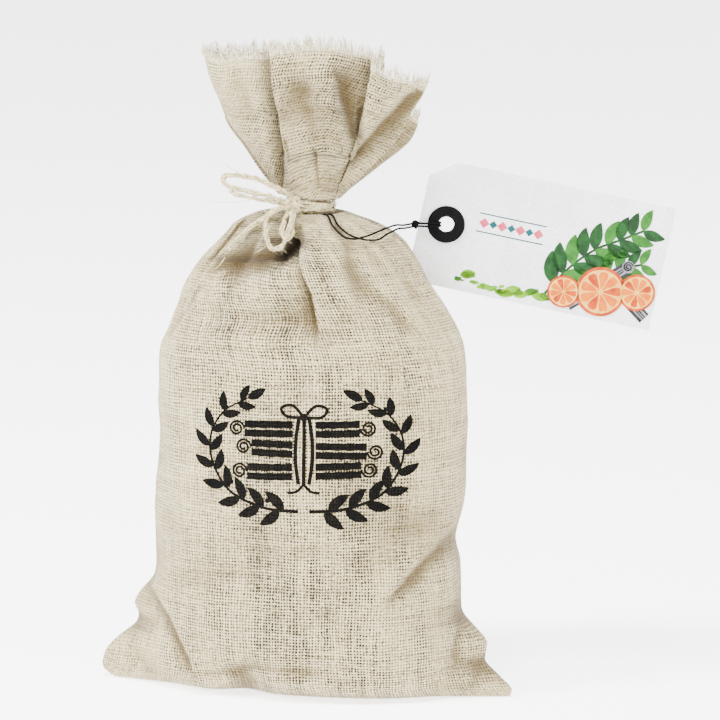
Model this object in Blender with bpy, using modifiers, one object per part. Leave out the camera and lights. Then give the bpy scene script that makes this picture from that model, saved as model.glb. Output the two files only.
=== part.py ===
"""A shut linen pouch of cinnamon sticks, standing on its flat base. Jute twine ties its neck under a
pleated ruffle, and a paper tag hangs beside it on a black cord. Metres, +Z up, X along the pouch's
width, the front towards -Y, the origin on the floor under the middle of the pouch."""

import math

import bmesh
import bpy
from mathutils import Matrix, Vector

MM = 0.001
GAP = 0.3  # clearance between pieces that touch, mm

# Driving dimensions, millimetres
TIE_HEIGHT = 179.6
NECK_RADIUS = 7.2
TWINE_RADIUS = 0.8
CORD_RADIUS = 0.38
TAG_SIZE = (91.7, 46.4, 0.5)
TAG_CLIP = (9.3, 7.0)
TAG_HOLE_FROM_END = 10.0
RING_RADII = (2.9, 6.9)
RING_MIDDLE = (47.7, 15.5, 170.0)
TAG_TURN, TAG_LEAN, TAG_ROLL = 8.0, 0.0, -12.1  # degrees

BODY_RINGS = 27
RUFFLE_RINGS = 6

# The body's outline: height, half width left, half width right, half depth, and how far the sewn
# corners reach out at the left and at the right.
BODY = [
    (0.0, 54.0, 51.0, 26.0, 21.0, 24.5),
    (2.8, 57.0, 53.5, 31.5, 21.5, 22.5),
    (6.5, 58.2, 54.6, 34.8, 20.5, 17.0),
    (11.0, 58.8, 55.0, 36.4, 18.0, 11.5),
    (15.0, 59.1, 55.2, 37.0, 13.5, 11.5),
    (19.0, 59.3, 55.3, 37.4, 8.0, 11.5),
    (23.0, 59.4, 55.2, 37.7, 6.2, 7.0),
    (27.5, 59.5, 54.8, 37.8, 7.5, 1.6),
    (32.0, 59.4, 55.1, 37.9, 5.0, 0.2),
    (38.0, 59.2, 55.4, 38.0, 0.6, 0.0),
    (47.0, 58.6, 55.5, 37.8, 0.0, 0.0),
    (57.0, 58.9, 53.6, 37.4, 0.0, 0.0),
    (73.0, 58.4, 56.6, 37.0, 0.0, 0.0),
    (90.0, 57.4, 57.5, 36.6, 0.0, 0.0),
    (112.0, 57.0, 57.6, 35.6, 0.0, 0.0),
    (124.0, 56.6, 57.3, 33.8, 0.0, 0.0),
    (132.0, 53.2, 55.0, 31.8, 0.0, 0.0),
    (140.0, 50.0, 50.6, 29.6, 0.0, 0.0),
    (149.5, 46.2, 43.8, 26.6, 0.0, 0.0),
    (159.2, 39.2, 37.0, 23.0, 0.0, 0.0),
    (166.8, 32.0, 31.0, 19.2, 0.0, 0.0),
    (171.9, 27.0, 22.6, 15.6, 0.0, 0.0),
    (174.6, 22.8, 16.6, 13.0, 0.0, 0.0),
    (176.1, 17.2, 11.8, 10.4, 0.0, 0.0),
    (174.9, 9.6, 8.8, 8.4, 0.0, 0.0),
]
LEAN_OUT = 3.6  # how far the base is turned: forward at the right, back at the left
CORNERS_FORWARD = 9.0

# The ruffle's cut edge seen from above, from the left tip round the front: x, y and height.
# The points near the middle are the bottoms of the creases between its pleats.
RIM = [
    (-40.5, 1.0, 234.5),
    (-33.0, -5.5, 233.6),
    (-24.5, -8.8, 235.2),
    (-16.8, -9.4, 235.4),
    (-6.0, -3.6, 234.0),
    (-13.4, -10.4, 236.6),
    (-6.0, -12.6, 238.2),
    (2.0, -13.4, 239.2),
    (9.5, -12.4, 239.0),
    (15.0, -8.4, 237.0),
    (13.5, -4.6, 233.5),
    (22.6, -7.6, 231.4),
    (30.5, -6.4, 227.4),
    (41.5, -3.2, 224.8),
    (24.0, 0.6, 220.0),
    (33.0, 4.6, 216.0),
    (38.4, 8.0, 211.0),
    (30.0, 12.0, 214.0),
    (15.5, 8.4, 220.0),
    (20.0, 14.6, 227.0),
    (12.0, 16.4, 231.5),
    (5.0, 8.4, 231.0),
    (3.0, 15.6, 234.5),
    (-8.0, 15.4, 235.4),
    (-5.5, 8.0, 232.0),
    (-16.5, 13.6, 235.0),
    (-27.0, 11.4, 234.6),
    (-36.0, 6.8, 234.4),
]
AROUND = 3 * len(RIM)
RIM_SPAN = (41.0, 14.0)  # the half axes that turn the rim's points into angles round the neck
RIM_MIDDLE = (1.0, 1.6)

# Folds on the front: start x, z, end x, z, half width and depth (a ridge is negative).
FOLDS = [
    (-22.0, 0.0, -20.0, 5.0, 8.0, 6.0),
    (-15.0, 158.5, -5.0, 163.0, 8.5, 6.5),
    (-30.0, 156.0, -14.0, 159.0, 5.0, 2.2),
    (-3.5, 171.0, 10.0, 134.0, 6.0, -2.4),
    (-36.0, 154.0, -50.0, 136.0, 3.6, 1.8),
    (20.0, 164.0, 47.0, 142.0, 3.6, 1.8),
    (54.0, 58.0, 31.0, 39.0, 3.4, 2.4),
    (52.0, 64.0, 30.0, 46.0, 4.6, -1.2),
    (-56.0, 36.0, -44.0, 20.0, 3.4, 1.8),
]
BACK_FOLDS = [
    (-22.0, 0.0, -20.0, 5.0, 8.0, 6.0),
    (-4.0, 168.0, -18.0, 136.0, 5.0, 2.0),
    (10.0, 168.0, 30.0, 140.0, 5.0, 2.0),
    (-50.0, 60.0, -26.0, 44.0, 4.0, 1.8),
]
GATHERS, GATHER_DEPTH = 11, 1.1

# Routes of the free ends of the twine: x, z and how far the strand's middle stands off the cloth.
BOW_LOOP = [
    (-5.2, -9.2, 181.0),
    (-10.5, -10.2, 185.4),
    (-19.2, -9.0, 188.8),
    (-26.3, -8.0, 189.9),
    (-30.6, -8.3, 189.4),
    (-30.5, -9.6, 187.2),
    (-25.9, -10.8, 185.2),
    (-19.9, -11.4, 184.2),
    (-11.4, -11.8, 182.4),
    (-5.8, -11.2, 180.0),
]
FRONT_LOOP = [
    (-6.6, -11.6, 178.6),
    (-10.6, -14.4, 178.8),
    (-13.7, -16.2, 175.9),
    (-14.5, -16.8, 171.2),
    (-13.5, -17.0, 166.5),
    (-11.4, -17.0, 164.6),
    (-8.7, -17.0, 165.2),
    (-6.8, -17.2, 168.4),
    (-5.6, -15.6, 173.4),
    (-5.2, -12.0, 177.4),
]
TAIL = [
    (-6.2, -11.4, 179.4),
    (-9.8, -12.2, 178.4),
    (-14.0, -12.4, 176.2),
    (-18.7, -12.4, 172.9),
    (-22.4, -13.4, 169.9),
    (-25.6, -14.8, 166.8),
    (-30.2, -16.2, 160.1),
]
KNOT_MIDDLE, KNOT_RADII = (-5.4, -9.6, 179.9), (2.9, 2.9, 3.4)
WRAP_TURNS, WRAP_PITCH = 2.6, 1.88
WRAP_START = 236.0  # degrees round the neck from +X

# The black cord's two strands, from under the wrap to the knot at the tag.
STRANDS = {
    "cord_strand_left": [
        (4.6, -7.4, 175.8),
        (7.4, -10.9, 176.2),
        (10.0, -14.6, 172.8),
        (13.8, -17.0, 169.6),
        (17.4, -17.9, 168.8),
        (19.9, -17.6, 169.0),
        (24.1, -15.8, 170.2),
        (27.9, -12.0, 171.6),
        (31.4, -4.0, 172.1),
        (33.3, 4.0, 171.0),
        (35.4, 12.6, 170.35),
    ],
    "cord_strand_right": [
        (6.2, -6.4, 175.8),
        (9.0, -9.8, 176.2),
        (11.8, -13.2, 172.8),
        (15.4, -15.0, 170.2),
        (19.3, -15.8, 168.8),
        (23.2, -15.0, 168.0),
        (26.7, -13.4, 168.2),
        (29.0, -9.4, 169.5),
        (32.2, -2.8, 170.6),
        (33.8, 4.0, 169.9),
        (35.4, 12.6, 169.2),
    ],
}
# The hitch through the tag's hole, in the hole's upright frame: right, up, out of the face.
HITCH = [
    (-10.0, 0.0, 1.3),
    (-7.6, 0.0, 1.8),
    (-5.0, 0.0, 1.95),
    (-3.4, 0.0, 1.9),
    (-2.35, 0.0, 1.25),
    (-2.05, 0.0, 0.0),
    (-2.35, 0.0, -1.25),
    (-3.4, 0.0, -1.9),
    (-5.0, 0.0, -1.95),
    (-7.6, 0.0, -1.8),
    (-10.4, 0.0, -1.2),
]
HITCH_RISE = 0.56
KNOT_AT, CORD_KNOT_RADII = (-11.2, -0.2, 0.7), (0.8, 1.6, 1.2)


def clear_scene():
    for old in list(bpy.data.objects):
        bpy.data.objects.remove(old)


def material(name, colour, roughness):
    made = bpy.data.materials.new(name)
    made.use_nodes = True
    shader = made.node_tree.nodes["Principled BSDF"]
    shader.inputs["Base Color"].default_value = (*colour, 1.0)
    shader.inputs["Roughness"].default_value = roughness
    shader.inputs["Metallic"].default_value = 0.0
    made.diffuse_color = (*colour, 1.0)
    return made


def add_to(collection, obj, finish):
    collection.objects.link(obj)
    obj.data.materials.clear()
    obj.data.materials.append(finish)
    return obj


def hermite(a, b, c, d, t):
    """Catmull-Rom between b and c, one number."""
    return b + 0.5 * t * (c - a + t * (2 * a - 5 * b + 4 * c - d + t * (3 * (b - c) + d - a)))


def body_station(place):
    """The body's row of sizes at this place along BODY, smoothly between its rows."""
    k = min(int(place), len(BODY) - 2)
    last = len(BODY) - 1
    nearby = [BODY[min(max(k + step, 0), last)] for step in (-1, 0, 1, 2)]
    return [hermite(*column, place - k) for column in zip(*nearby)]


def even_places(count):
    """Places along BODY at even distances up the body's side, from the floor to the neck."""
    fine = 40
    places = [k / fine for k in range(fine * (len(BODY) - 1) + 1)]
    rows = [body_station(p) for p in places]
    lengths = [0.0]
    for low, high in zip(rows, rows[1:]):
        step = math.hypot(high[0] - low[0], (sum(high[1:]) - sum(low[1:])) / 3)
        lengths.append(lengths[-1] + step)
    chosen = []
    for j in range(count + 1):
        goal = lengths[-1] * j / count
        chosen.append(next(p for p, length in zip(places, lengths) if length >= goal - 1e-9))
    return chosen


def smooth_step(low, high, value):
    t = min(max((value - low) / (high - low), 0.0), 1.0)
    return t * t * (3 - 2 * t)


def fold_depth(x, z, folds):
    """How far the cloth is pushed in at (x, z) by the folds along these segments."""
    total = 0.0
    for x0, z0, x1, z1, half_width, depth in folds:
        along = ((x - x0) * (x1 - x0) + (z - z0) * (z1 - z0)) / ((x1 - x0) ** 2 + (z1 - z0) ** 2)
        along = min(max(along, 0.0), 1.0)
        away = math.hypot(x - x0 - along * (x1 - x0), z - z0 - along * (z1 - z0))
        total += depth * math.exp(-((away / half_width) ** 2))
    return total


def body_point(angle, station):
    """A point of the body; angle 0 is the right side, and it grows over the back (+Y)."""
    z, left, right, depth, corner_left, corner_right = station
    across, back = math.cos(angle), math.sin(angle)
    half_width, corner = (right, corner_right) if across > 0 else (left, corner_left)
    pinch = math.exp(-((back / 0.2) ** 2)) * min(corner / 12.0, 1.0)
    fullness = 0.74 + 0.18 * smooth_step(10, 70, z)
    x = half_width * math.copysign(abs(across) ** fullness, across)
    x += math.copysign(corner * math.exp(-((back / 0.24) ** 2)), across)
    y = depth * math.copysign(abs(back) ** (fullness + 0.04), back) * (1 - 0.5 * pinch)
    y -= LEAN_OUT * x / half_width * (1 - smooth_step(20, 90, z))
    y -= CORNERS_FORWARD * min(corner / 20.0, 1.0) * math.exp(-((back / 0.4) ** 2))
    gather = math.sin(GATHERS * angle + 0.7) * GATHER_DEPTH
    gather *= smooth_step(128, 166, z) * (1 - smooth_step(171, 175, z))
    x -= across * gather
    y -= back * gather
    y += fold_depth(x, z, FOLDS) * max(-back, 0.0) ** 0.5
    y -= fold_depth(x, z, BACK_FOLDS) * max(back, 0.0) ** 0.5
    return Vector((x, y, z))


def rim_points():
    """The ruffle's edge, AROUND points on a closed curve through RIM."""
    count = len(RIM)
    points = []
    for k in range(AROUND):
        place = k * count / AROUND
        i, t = int(place), place - int(place)
        nearby = [RIM[(i + step) % count] for step in (-1, 0, 1, 2)]
        points.append(Vector([hermite(*(p[c] for p in nearby), t) for c in range(3)]))
    return points


def rim_angle(point):
    """The angle round the neck of the line that runs up to this point of the edge."""
    x, y = point.x - RIM_MIDDLE[0], point.y - RIM_MIDDLE[1]
    return math.atan2(y / RIM_SPAN[1], x / RIM_SPAN[0])


def neck_point(rim, angle, z):
    """A point of the tied neck, a little further in where a crease of the ruffle runs down."""
    reach = math.hypot((rim.x - RIM_MIDDLE[0]) / RIM_SPAN[0], (rim.y - RIM_MIDDLE[1]) / RIM_SPAN[1])
    radius = NECK_RADIUS * (0.86 + 0.14 * min(reach, 1.0))
    return Vector((radius * math.cos(angle), radius * math.sin(angle), z))


def pouch_rings():
    rim = rim_points()
    rim_angles = [rim_angle(p) for p in rim]
    even_angles = [math.pi + 2 * math.pi * k / AROUND for k in range(AROUND)]
    rings = []
    for place in even_places(BODY_RINGS):
        station = body_station(place)
        share = smooth_step(120, 172, station[0])
        ring = []
        for even, gathered in zip(even_angles, rim_angles):
            turn = (gathered - even + math.pi) % (2 * math.pi) - math.pi
            ring.append(body_point(even + turn * share, station))
        rings.append(ring)
    half_wrap = WRAP_TURNS * WRAP_PITCH / 2 + TWINE_RADIUS
    rings.append([neck_point(p, a, TIE_HEIGHT - half_wrap) for p, a in zip(rim, rim_angles)])
    rings.append([neck_point(p, a, TIE_HEIGHT + half_wrap) for p, a in zip(rim, rim_angles)])
    foot = [Vector((p.x * 1.6, p.y * 1.25, p.z + 1.8)) for p in rings[-1]]
    rings.append(foot)
    for j in range(1, RUFFLE_RINGS + 1):
        t = j / RUFFLE_RINGS
        ring = []
        for low, high, angle in zip(foot, rim, rim_angles):
            spread = 1 - (1 - t) ** 1.42
            x = low.x + (high.x - low.x) * spread
            y = low.y + (high.y - low.y) * spread
            ring.append(Vector((x, y, low.z + (high.z - low.z) * t)))
        rings.append(ring)
    middle = Vector((*RIM_MIDDLE, 0.0))
    for share, drop in ((0.84, 1.0), (0.5, 16.0)):
        ring = []
        for p in rim:
            inside = middle + (p - middle) * share
            ring.append(Vector((inside.x, inside.y, p.z - drop)))
        rings.append(ring)
    return rings


def loft(name, rings, start, end):
    """One closed body through the rings, closed by a fan to a point at each end."""
    mesh = bmesh.new()
    rows = [[mesh.verts.new(p * MM) for p in ring] for ring in rings]
    count = len(rings[0])
    for low, high in zip(rows, rows[1:]):
        for k in range(count):
            n = (k + 1) % count
            mesh.faces.new((low[k], low[n], high[n], high[k]))
    for row, tip in ((rows[0], start), (rows[-1], end)):
        point = mesh.verts.new(tip * MM)
        for k in range(count):
            mesh.faces.new((row[k], row[(k + 1) % count], point))
    bmesh.ops.recalc_face_normals(mesh, faces=mesh.faces)
    data = bpy.data.meshes.new(name)
    mesh.to_mesh(data)
    mesh.free()
    data.shade_smooth()
    return bpy.data.objects.new(name, data)


def make_pouch(collection, finish):
    rings = pouch_rings()
    top = Vector((*RIM_MIDDLE, min(p.z for p in rings[-1]) - 3.0))
    base_inner = [Vector((p.x * 0.6, p.y * 0.6, 0.0)) for p in rings[0]]
    return add_to(collection, loft("pouch", [base_inner, *rings], Vector((0, 0, 0)), top), finish)


def smooth_route(points, spacing):
    """Points about this far apart on a smooth curve through the route's own points."""
    points = [Vector(p) for p in points]
    ends = [2 * points[0] - points[1], *points, 2 * points[-1] - points[-2]]
    route = [points[0]]
    for k in range(1, len(ends) - 2):
        nearby = ends[k - 1 : k + 3]
        steps = max(2, round((nearby[2] - nearby[1]).length / spacing))
        for step in range(1, steps + 1):
            t = step / steps
            route.append(Vector([hermite(*(p[c] for p in nearby), t) for c in range(3)]))
    return route


def tube(name, route, radius, resolution):
    """A filled round tube along these points, as a curve object."""
    data = bpy.data.curves.new(name, "CURVE")
    data.dimensions = "3D"
    data.bevel_depth = radius * MM
    data.bevel_resolution = resolution
    data.use_fill_caps = True
    data.resolution_u = 1
    data.render_resolution_u = 0
    spline = data.splines.new("POLY")
    spline.points.add(len(route) - 1)
    for point, place in zip(spline.points, route):
        point.co = (*(place * MM), 1.0)
    return bpy.data.objects.new(name, data)


def tube_mesh(name, route, radius):
    """The same tube as a closed mesh, for a Boolean."""
    curve = tube(name + "_curve", route, radius, 2)
    bpy.context.scene.collection.objects.link(curve)
    bpy.context.view_layer.update()
    shape = curve.evaluated_get(bpy.context.evaluated_depsgraph_get())
    data = bpy.data.meshes.new_from_object(shape)
    bpy.data.objects.remove(curve)
    mesh = bmesh.new()
    mesh.from_mesh(data)
    bmesh.ops.remove_doubles(mesh, verts=mesh.verts, dist=0.00001)
    bmesh.ops.recalc_face_normals(mesh, faces=mesh.faces)
    mesh.to_mesh(data)
    mesh.free()
    data.name = name
    return bpy.data.objects.new(name, data)


def wrap_route():
    radius = NECK_RADIUS + GAP + TWINE_RADIUS
    steps = round(WRAP_TURNS * 18)
    route = []
    for k in range(steps + 1):
        angle = math.radians(WRAP_START) + 2 * math.pi * WRAP_TURNS * k / steps
        z = TIE_HEIGHT + WRAP_PITCH * WRAP_TURNS * (k / steps - 0.5)
        route.append(Vector((radius * math.cos(angle), radius * math.sin(angle), z)))
    return route


def make_twine(collection, cutters, finish):
    """The wrap round the neck, the knot, the bow's loop, the hanging loop and the tail, in one piece."""
    mesh = bmesh.new()
    bmesh.ops.create_uvsphere(mesh, u_segments=12, v_segments=8, radius=MM)
    bmesh.ops.scale(mesh, vec=KNOT_RADII, verts=mesh.verts)
    bmesh.ops.translate(mesh, vec=Vector(KNOT_MIDDLE) * MM, verts=mesh.verts)
    data = bpy.data.meshes.new("twine_tie")
    mesh.to_mesh(data)
    mesh.free()
    twine = add_to(collection, bpy.data.objects.new("twine_tie", data), finish)
    routes = {
        "wrap": wrap_route(),
        "bow_loop": smooth_route(BOW_LOOP, 3.0),
        "front_loop": smooth_route(FRONT_LOOP, 3.0),
        "tail": smooth_route(TAIL, 3.5),
    }
    for name, route in routes.items():
        strand = tube_mesh(name + "_strand", route, TWINE_RADIUS)
        cutters.objects.link(strand)
        strand.hide_render = True
        strand.display_type = "WIRE"
        join = twine.modifiers.new(name, "BOOLEAN")
        join.operation = "UNION"
        join.solver = "EXACT"
        join.object = strand
    return twine


def hole_frame():
    """The upright frame at the middle of the tag's hole: x right, y up, z out of the printed face."""
    turn, lean = math.radians(TAG_TURN), math.radians(TAG_LEAN)
    upright = Matrix.Rotation(math.radians(90), 4, "X")
    facing = Matrix.Rotation(turn, 4, "Z") @ Matrix.Rotation(-lean, 4, "X") @ upright
    return Matrix.Translation(Vector(RING_MIDDLE) * MM) @ facing


def tag_matrix():
    """The tag's own frame: x along its length, y up its height, z out of its printed face."""
    return hole_frame() @ Matrix.Rotation(math.radians(TAG_ROLL), 4, "Z")


def tag_outline():
    """The card with its two corners clipped at the hole's end; the hole's middle is (0, 0)."""
    length, height, _ = TAG_SIZE
    along, across = TAG_CLIP
    left, right = -TAG_HOLE_FROM_END, length - TAG_HOLE_FROM_END
    top = height / 2
    return [
        (left + along, -top),
        (right, -top),
        (right, top),
        (left + along, top),
        (left, top - across),
        (left, across - top),
    ]


def make_card(collection, finish):
    data = bpy.data.curves.new("tag_card", "CURVE")
    data.dimensions = "2D"
    data.fill_mode = "BOTH"
    data.extrude = TAG_SIZE[2] / 2 * MM
    hole = RING_RADII[0] + 0.5 + GAP
    circle = [(hole * math.cos(a * math.pi / 16), hole * math.sin(a * math.pi / 16)) for a in range(32)]
    for outline in (tag_outline(), circle):
        spline = data.splines.new("POLY")
        spline.points.add(len(outline) - 1)
        for point, (x, y) in zip(spline.points, outline):
            point.co = (x * MM, y * MM, 0.0, 1.0)
        spline.use_cyclic_u = True
    card = add_to(collection, bpy.data.objects.new("tag_card", data), finish)
    card.matrix_world = tag_matrix()
    return card


def make_ring(collection, finish):
    """The eyelet that lines the hole: a flange on each face of the card and a barrel through it."""
    inner, outer = RING_RADII
    barrel = inner + 0.5
    flange = TAG_SIZE[2] / 2 + GAP
    face = flange + 0.5
    profile = [
        (inner, face - 0.15),
        (inner + 0.2, face),
        (outer - 0.25, face),
        (outer, face - 0.25),
        (outer, flange),
        (barrel, flange),
    ]
    profile += [(x, -y) for x, y in reversed(profile)]
    mesh = bmesh.new()
    points = [mesh.verts.new((x * MM, 0.0, y * MM)) for x, y in profile]
    for k in range(len(points)):
        mesh.edges.new((points[k], points[(k + 1) % len(points)]))
    data = bpy.data.meshes.new("tag_ring")
    mesh.to_mesh(data)
    mesh.free()
    ring = add_to(collection, bpy.data.objects.new("tag_ring", data), finish)
    screw = ring.modifiers.new("turn", "SCREW")
    screw.steps = screw.render_steps = 28
    screw.use_merge_vertices = True
    screw.merge_threshold = 0.00001
    screw.use_normal_calculate = True
    ring.matrix_world = tag_matrix()
    return ring


def make_cord(collection, finish):
    """The two strands to the tag, the hitch through its hole and the knot between them."""
    for name, points in STRANDS.items():
        add_to(collection, tube(name, smooth_route(points, 2.4), CORD_RADIUS, 2), finish)
    frame = hole_frame()
    for name, side in (("cord_hitch_upper", 1), ("cord_hitch_lower", -1)):
        points = [(x, y + side * HITCH_RISE, z) for x, y, z in HITCH]
        hitch = add_to(collection, tube(name, smooth_route(points, 1.4), CORD_RADIUS, 2), finish)
        hitch.matrix_world = frame
    mesh = bmesh.new()
    bmesh.ops.create_uvsphere(mesh, u_segments=12, v_segments=8, radius=MM)
    bmesh.ops.scale(mesh, vec=CORD_KNOT_RADII, verts=mesh.verts)
    data = bpy.data.meshes.new("cord_knot")
    mesh.to_mesh(data)
    mesh.free()
    data.shade_smooth()
    knot = add_to(collection, bpy.data.objects.new("cord_knot", data), finish)
    knot.matrix_world = frame @ Matrix.Translation(Vector(KNOT_AT) * MM)


def build():
    clear_scene()
    parts = bpy.data.collections.new("cinnamon_pouch")
    cutters = bpy.data.collections.new("cutters")
    bpy.context.scene.collection.children.link(parts)
    bpy.context.scene.collection.children.link(cutters)
    linen = material("linen", (0.56, 0.50, 0.39), 0.95)
    jute = material("jute", (0.66, 0.58, 0.40), 0.95)
    paper = material("paper", (0.82, 0.82, 0.83), 0.9)
    black = material("black", (0.01, 0.01, 0.01), 0.6)
    make_pouch(parts, linen)
    make_twine(parts, cutters, jute)
    make_card(parts, paper)
    make_ring(parts, black)
    make_cord(parts, black)


build()
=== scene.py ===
"""The looks of a shut linen pouch: open-weave cloth gathered under a pleated ruffle, hairy jute
twine, and a printed paper tag on a black cord. Lengths are in millimetres until they reach a mesh."""

import math
import random

import bmesh
import bpy
import numpy as np
from mathutils import Matrix, Vector, noise
from mathutils.bvhtree import BVHTree


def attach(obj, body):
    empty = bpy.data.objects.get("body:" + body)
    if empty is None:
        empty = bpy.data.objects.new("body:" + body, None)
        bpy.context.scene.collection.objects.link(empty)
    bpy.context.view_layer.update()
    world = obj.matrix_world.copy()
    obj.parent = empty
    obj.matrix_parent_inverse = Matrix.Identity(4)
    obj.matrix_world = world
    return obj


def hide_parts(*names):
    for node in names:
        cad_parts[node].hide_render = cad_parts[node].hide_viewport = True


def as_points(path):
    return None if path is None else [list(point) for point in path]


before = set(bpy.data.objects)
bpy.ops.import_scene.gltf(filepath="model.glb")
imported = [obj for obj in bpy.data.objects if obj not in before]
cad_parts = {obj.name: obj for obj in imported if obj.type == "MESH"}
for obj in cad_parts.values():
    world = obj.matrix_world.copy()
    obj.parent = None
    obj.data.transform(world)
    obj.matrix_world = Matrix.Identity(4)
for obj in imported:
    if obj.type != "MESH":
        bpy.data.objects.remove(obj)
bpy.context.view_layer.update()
MM = 0.001

# ---------------------------------------------------------------- the pouch's own sizes

TIE_HEIGHT = 179.6
NECK_RADIUS = 7.2
TWINE_RADIUS = 0.8
CORD_RADIUS = 0.38
WRAP_TURNS, WRAP_PITCH = 2.6, 1.88
WRAP_START = 236.0
GAP = 0.3

# height, half width left, half width right, half depth, corner left, corner right
BODY = [
    (0.0, 54.0, 51.0, 26.0, 21.0, 24.5),
    (2.8, 57.0, 53.5, 31.5, 21.5, 22.5),
    (6.5, 58.2, 54.6, 34.8, 20.5, 17.0),
    (11.0, 58.8, 55.0, 36.4, 18.0, 11.5),
    (15.0, 59.1, 55.2, 37.0, 13.5, 11.5),
    (19.0, 59.3, 55.3, 37.4, 8.0, 11.5),
    (23.0, 59.4, 55.2, 37.7, 6.2, 7.0),
    (27.5, 59.5, 54.8, 37.8, 7.5, 1.6),
    (32.0, 59.4, 55.1, 37.9, 5.0, 0.2),
    (38.0, 59.2, 55.4, 38.0, 0.6, 0.0),
    (47.0, 58.6, 55.5, 37.8, 0.0, 0.0),
    (57.0, 58.9, 53.6, 37.4, 0.0, 0.0),
    (73.0, 58.4, 56.6, 37.0, 0.0, 0.0),
    (90.0, 57.4, 57.5, 36.6, 0.0, 0.0),
    (112.0, 57.0, 57.6, 35.6, 0.0, 0.0),
    (124.0, 56.6, 57.3, 33.8, 0.0, 0.0),
    (132.0, 53.2, 55.0, 31.8, 0.0, 0.0),
    (140.0, 50.0, 50.6, 29.6, 0.0, 0.0),
    (149.5, 46.2, 43.8, 26.6, 0.0, 0.0),
    (159.2, 39.2, 37.0, 23.0, 0.0, 0.0),
    (166.8, 32.0, 31.0, 19.2, 0.0, 0.0),
    (171.9, 27.0, 22.6, 15.6, 0.0, 0.0),
    (174.6, 22.8, 16.6, 13.0, 0.0, 0.0),
    (176.1, 17.2, 11.8, 10.4, 0.0, 0.0),
    (174.9, 9.6, 8.8, 8.4, 0.0, 0.0),
]
LEAN_OUT = 3.6
CORNERS_FORWARD = 9.0
RIM = [
    (-40.5, 1.0, 234.5),
    (-33.0, -5.5, 233.6),
    (-24.5, -8.8, 235.2),
    (-17.4, -8.8, 235.4),
    (-8.8, 3.4, 234.0),
    (-13.4, -10.4, 236.6),
    (-6.0, -12.6, 238.2),
    (2.0, -13.4, 239.2),
    (9.5, -12.4, 239.0),
    (15.5, -6.8, 237.0),
    (26.2, 0.8, 233.4),
    (22.6, -8.2, 232.2),
    (30.5, -7.0, 228.2),
    (41.5, -3.2, 224.8),
    (24.0, 0.6, 220.0),
    (33.0, 4.6, 216.0),
    (38.4, 8.0, 211.0),
    (30.0, 12.0, 214.0),
    (15.5, 8.4, 220.0),
    (20.0, 14.6, 227.0),
    (12.0, 16.4, 231.5),
    (5.0, 8.4, 231.0),
    (3.0, 15.6, 234.5),
    (-8.0, 15.4, 235.4),
    (-5.5, 8.0, 232.0),
    (-16.5, 13.6, 235.0),
    (-27.0, 11.4, 234.6),
    (-36.0, 6.8, 234.4),
]
CREASES = (4, 10, 14, 18, 21, 24)  # the rows of RIM at the bottoms of the creases
PANEL_MIDDLES = (7, 12, 16, 19.6, 22.5, 29.6)  # where each panel's threads run straight up
HEM_DROP = 2.2  # the woven edge lies this far under the tips of its frayed threads
RIM_SPAN = (41.0, 14.0)
RIM_MIDDLE = (1.0, 1.6)
# Folds on the front: a route of (x, z), its width on its left and on its right, and its depth;
# a ridge is negative.
FOLDS = [
    (((-22.0, 0.0), (-20.0, 5.0)), 8.0, 8.0, 6.0),
    (((-27.0, 156.0), (-15.0, 158.5), (-5.0, 163.0)), 7.0, 4.5, 9.0),
    (((-8.8, 160.4), (-5.0, 165.0)), 2.2, 2.2, 13.0),
    (((-30.0, 151.0), (-16.0, 150.0), (-2.0, 151.0)), 4.0, 6.0, -2.2),
    (((-30.0, 157.0), (-14.0, 159.0)), 5.0, 5.0, 1.6),
    (((-20.0, 173.0), (-28.6, 164.0), (-42.0, 144.0), (-50.0, 132.0)), 0.9, 4.6, 3.2),
    (((-24.0, 171.0), (-34.0, 160.0), (-44.0, 147.0)), 3.6, 3.6, -1.0),
    (((3.0, 174.0), (12.0, 163.0), (23.0, 152.0), (38.0, 137.0)), 3.4, 3.4, 1.5),
    (((12.0, 174.0), (22.0, 164.0), (33.0, 155.0), (48.0, 140.0)), 2.0, 4.0, 1.6),
    (((57.0, 64.0), (48.5, 55.0), (43.0, 50.5), (38.5, 46.0)), 6.0, 1.0, 4.0),
    (((54.0, 65.0), (42.0, 54.0), (33.0, 45.0)), 4.6, 4.6, -1.6),
    (((-64.0, 36.0), (-57.0, 33.0), (-50.5, 26.5), (-46.0, 19.0), (-42.0, 12.0)), 1.0, 6.5, 6.0),
    (((-57.0, 33.0), (-48.5, 19.0), (-42.0, 9.0)), 4.0, 4.0, -1.4),
    (((57.5, 32.0), (56.0, 24.0), (55.0, 15.0)), 3.2, 0.9, 2.8),
    (((-40.0, 4.0), (-18.0, 8.5), (6.0, 7.0), (20.0, 4.5)), 2.2, 2.2, -1.3),
    (((-34.0, 8.0), (-16.0, 12.5), (4.0, 11.5)), 2.4, 2.4, 0.9),
    (((-66.0, 14.0), (-60.0, 5.0)), 2.4, 2.4, 1.4),
    (((64.0, 12.0), (62.0, 4.0)), 2.0, 2.0, 1.2),
]
BACK_FOLDS = [
    (((-22.0, 0.0), (-20.0, 5.0)), 8.0, 8.0, 6.0),
    (((-4.0, 170.0), (-12.0, 152.0), (-22.0, 132.0)), 2.4, 4.5, 2.2),
    (((10.0, 170.0), (18.0, 154.0), (34.0, 136.0)), 4.5, 2.4, 2.2),
    (((-26.0, 166.0), (-38.0, 150.0)), 3.0, 3.0, 1.6),
    (((-50.0, 60.0), (-38.0, 50.0), (-26.0, 44.0)), 2.0, 4.5, 2.2),
    (((48.0, 30.0), (34.0, 22.0)), 2.0, 4.0, 1.8),
    (((-62.0, 32.0), (-52.0, 18.0), (-46.0, 4.0)), 3.0, 3.0, 3.0),
    (((56.0, 28.0), (56.0, 15.0), (60.0, 3.0)), 3.0, 3.0, 3.0),
]
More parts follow.
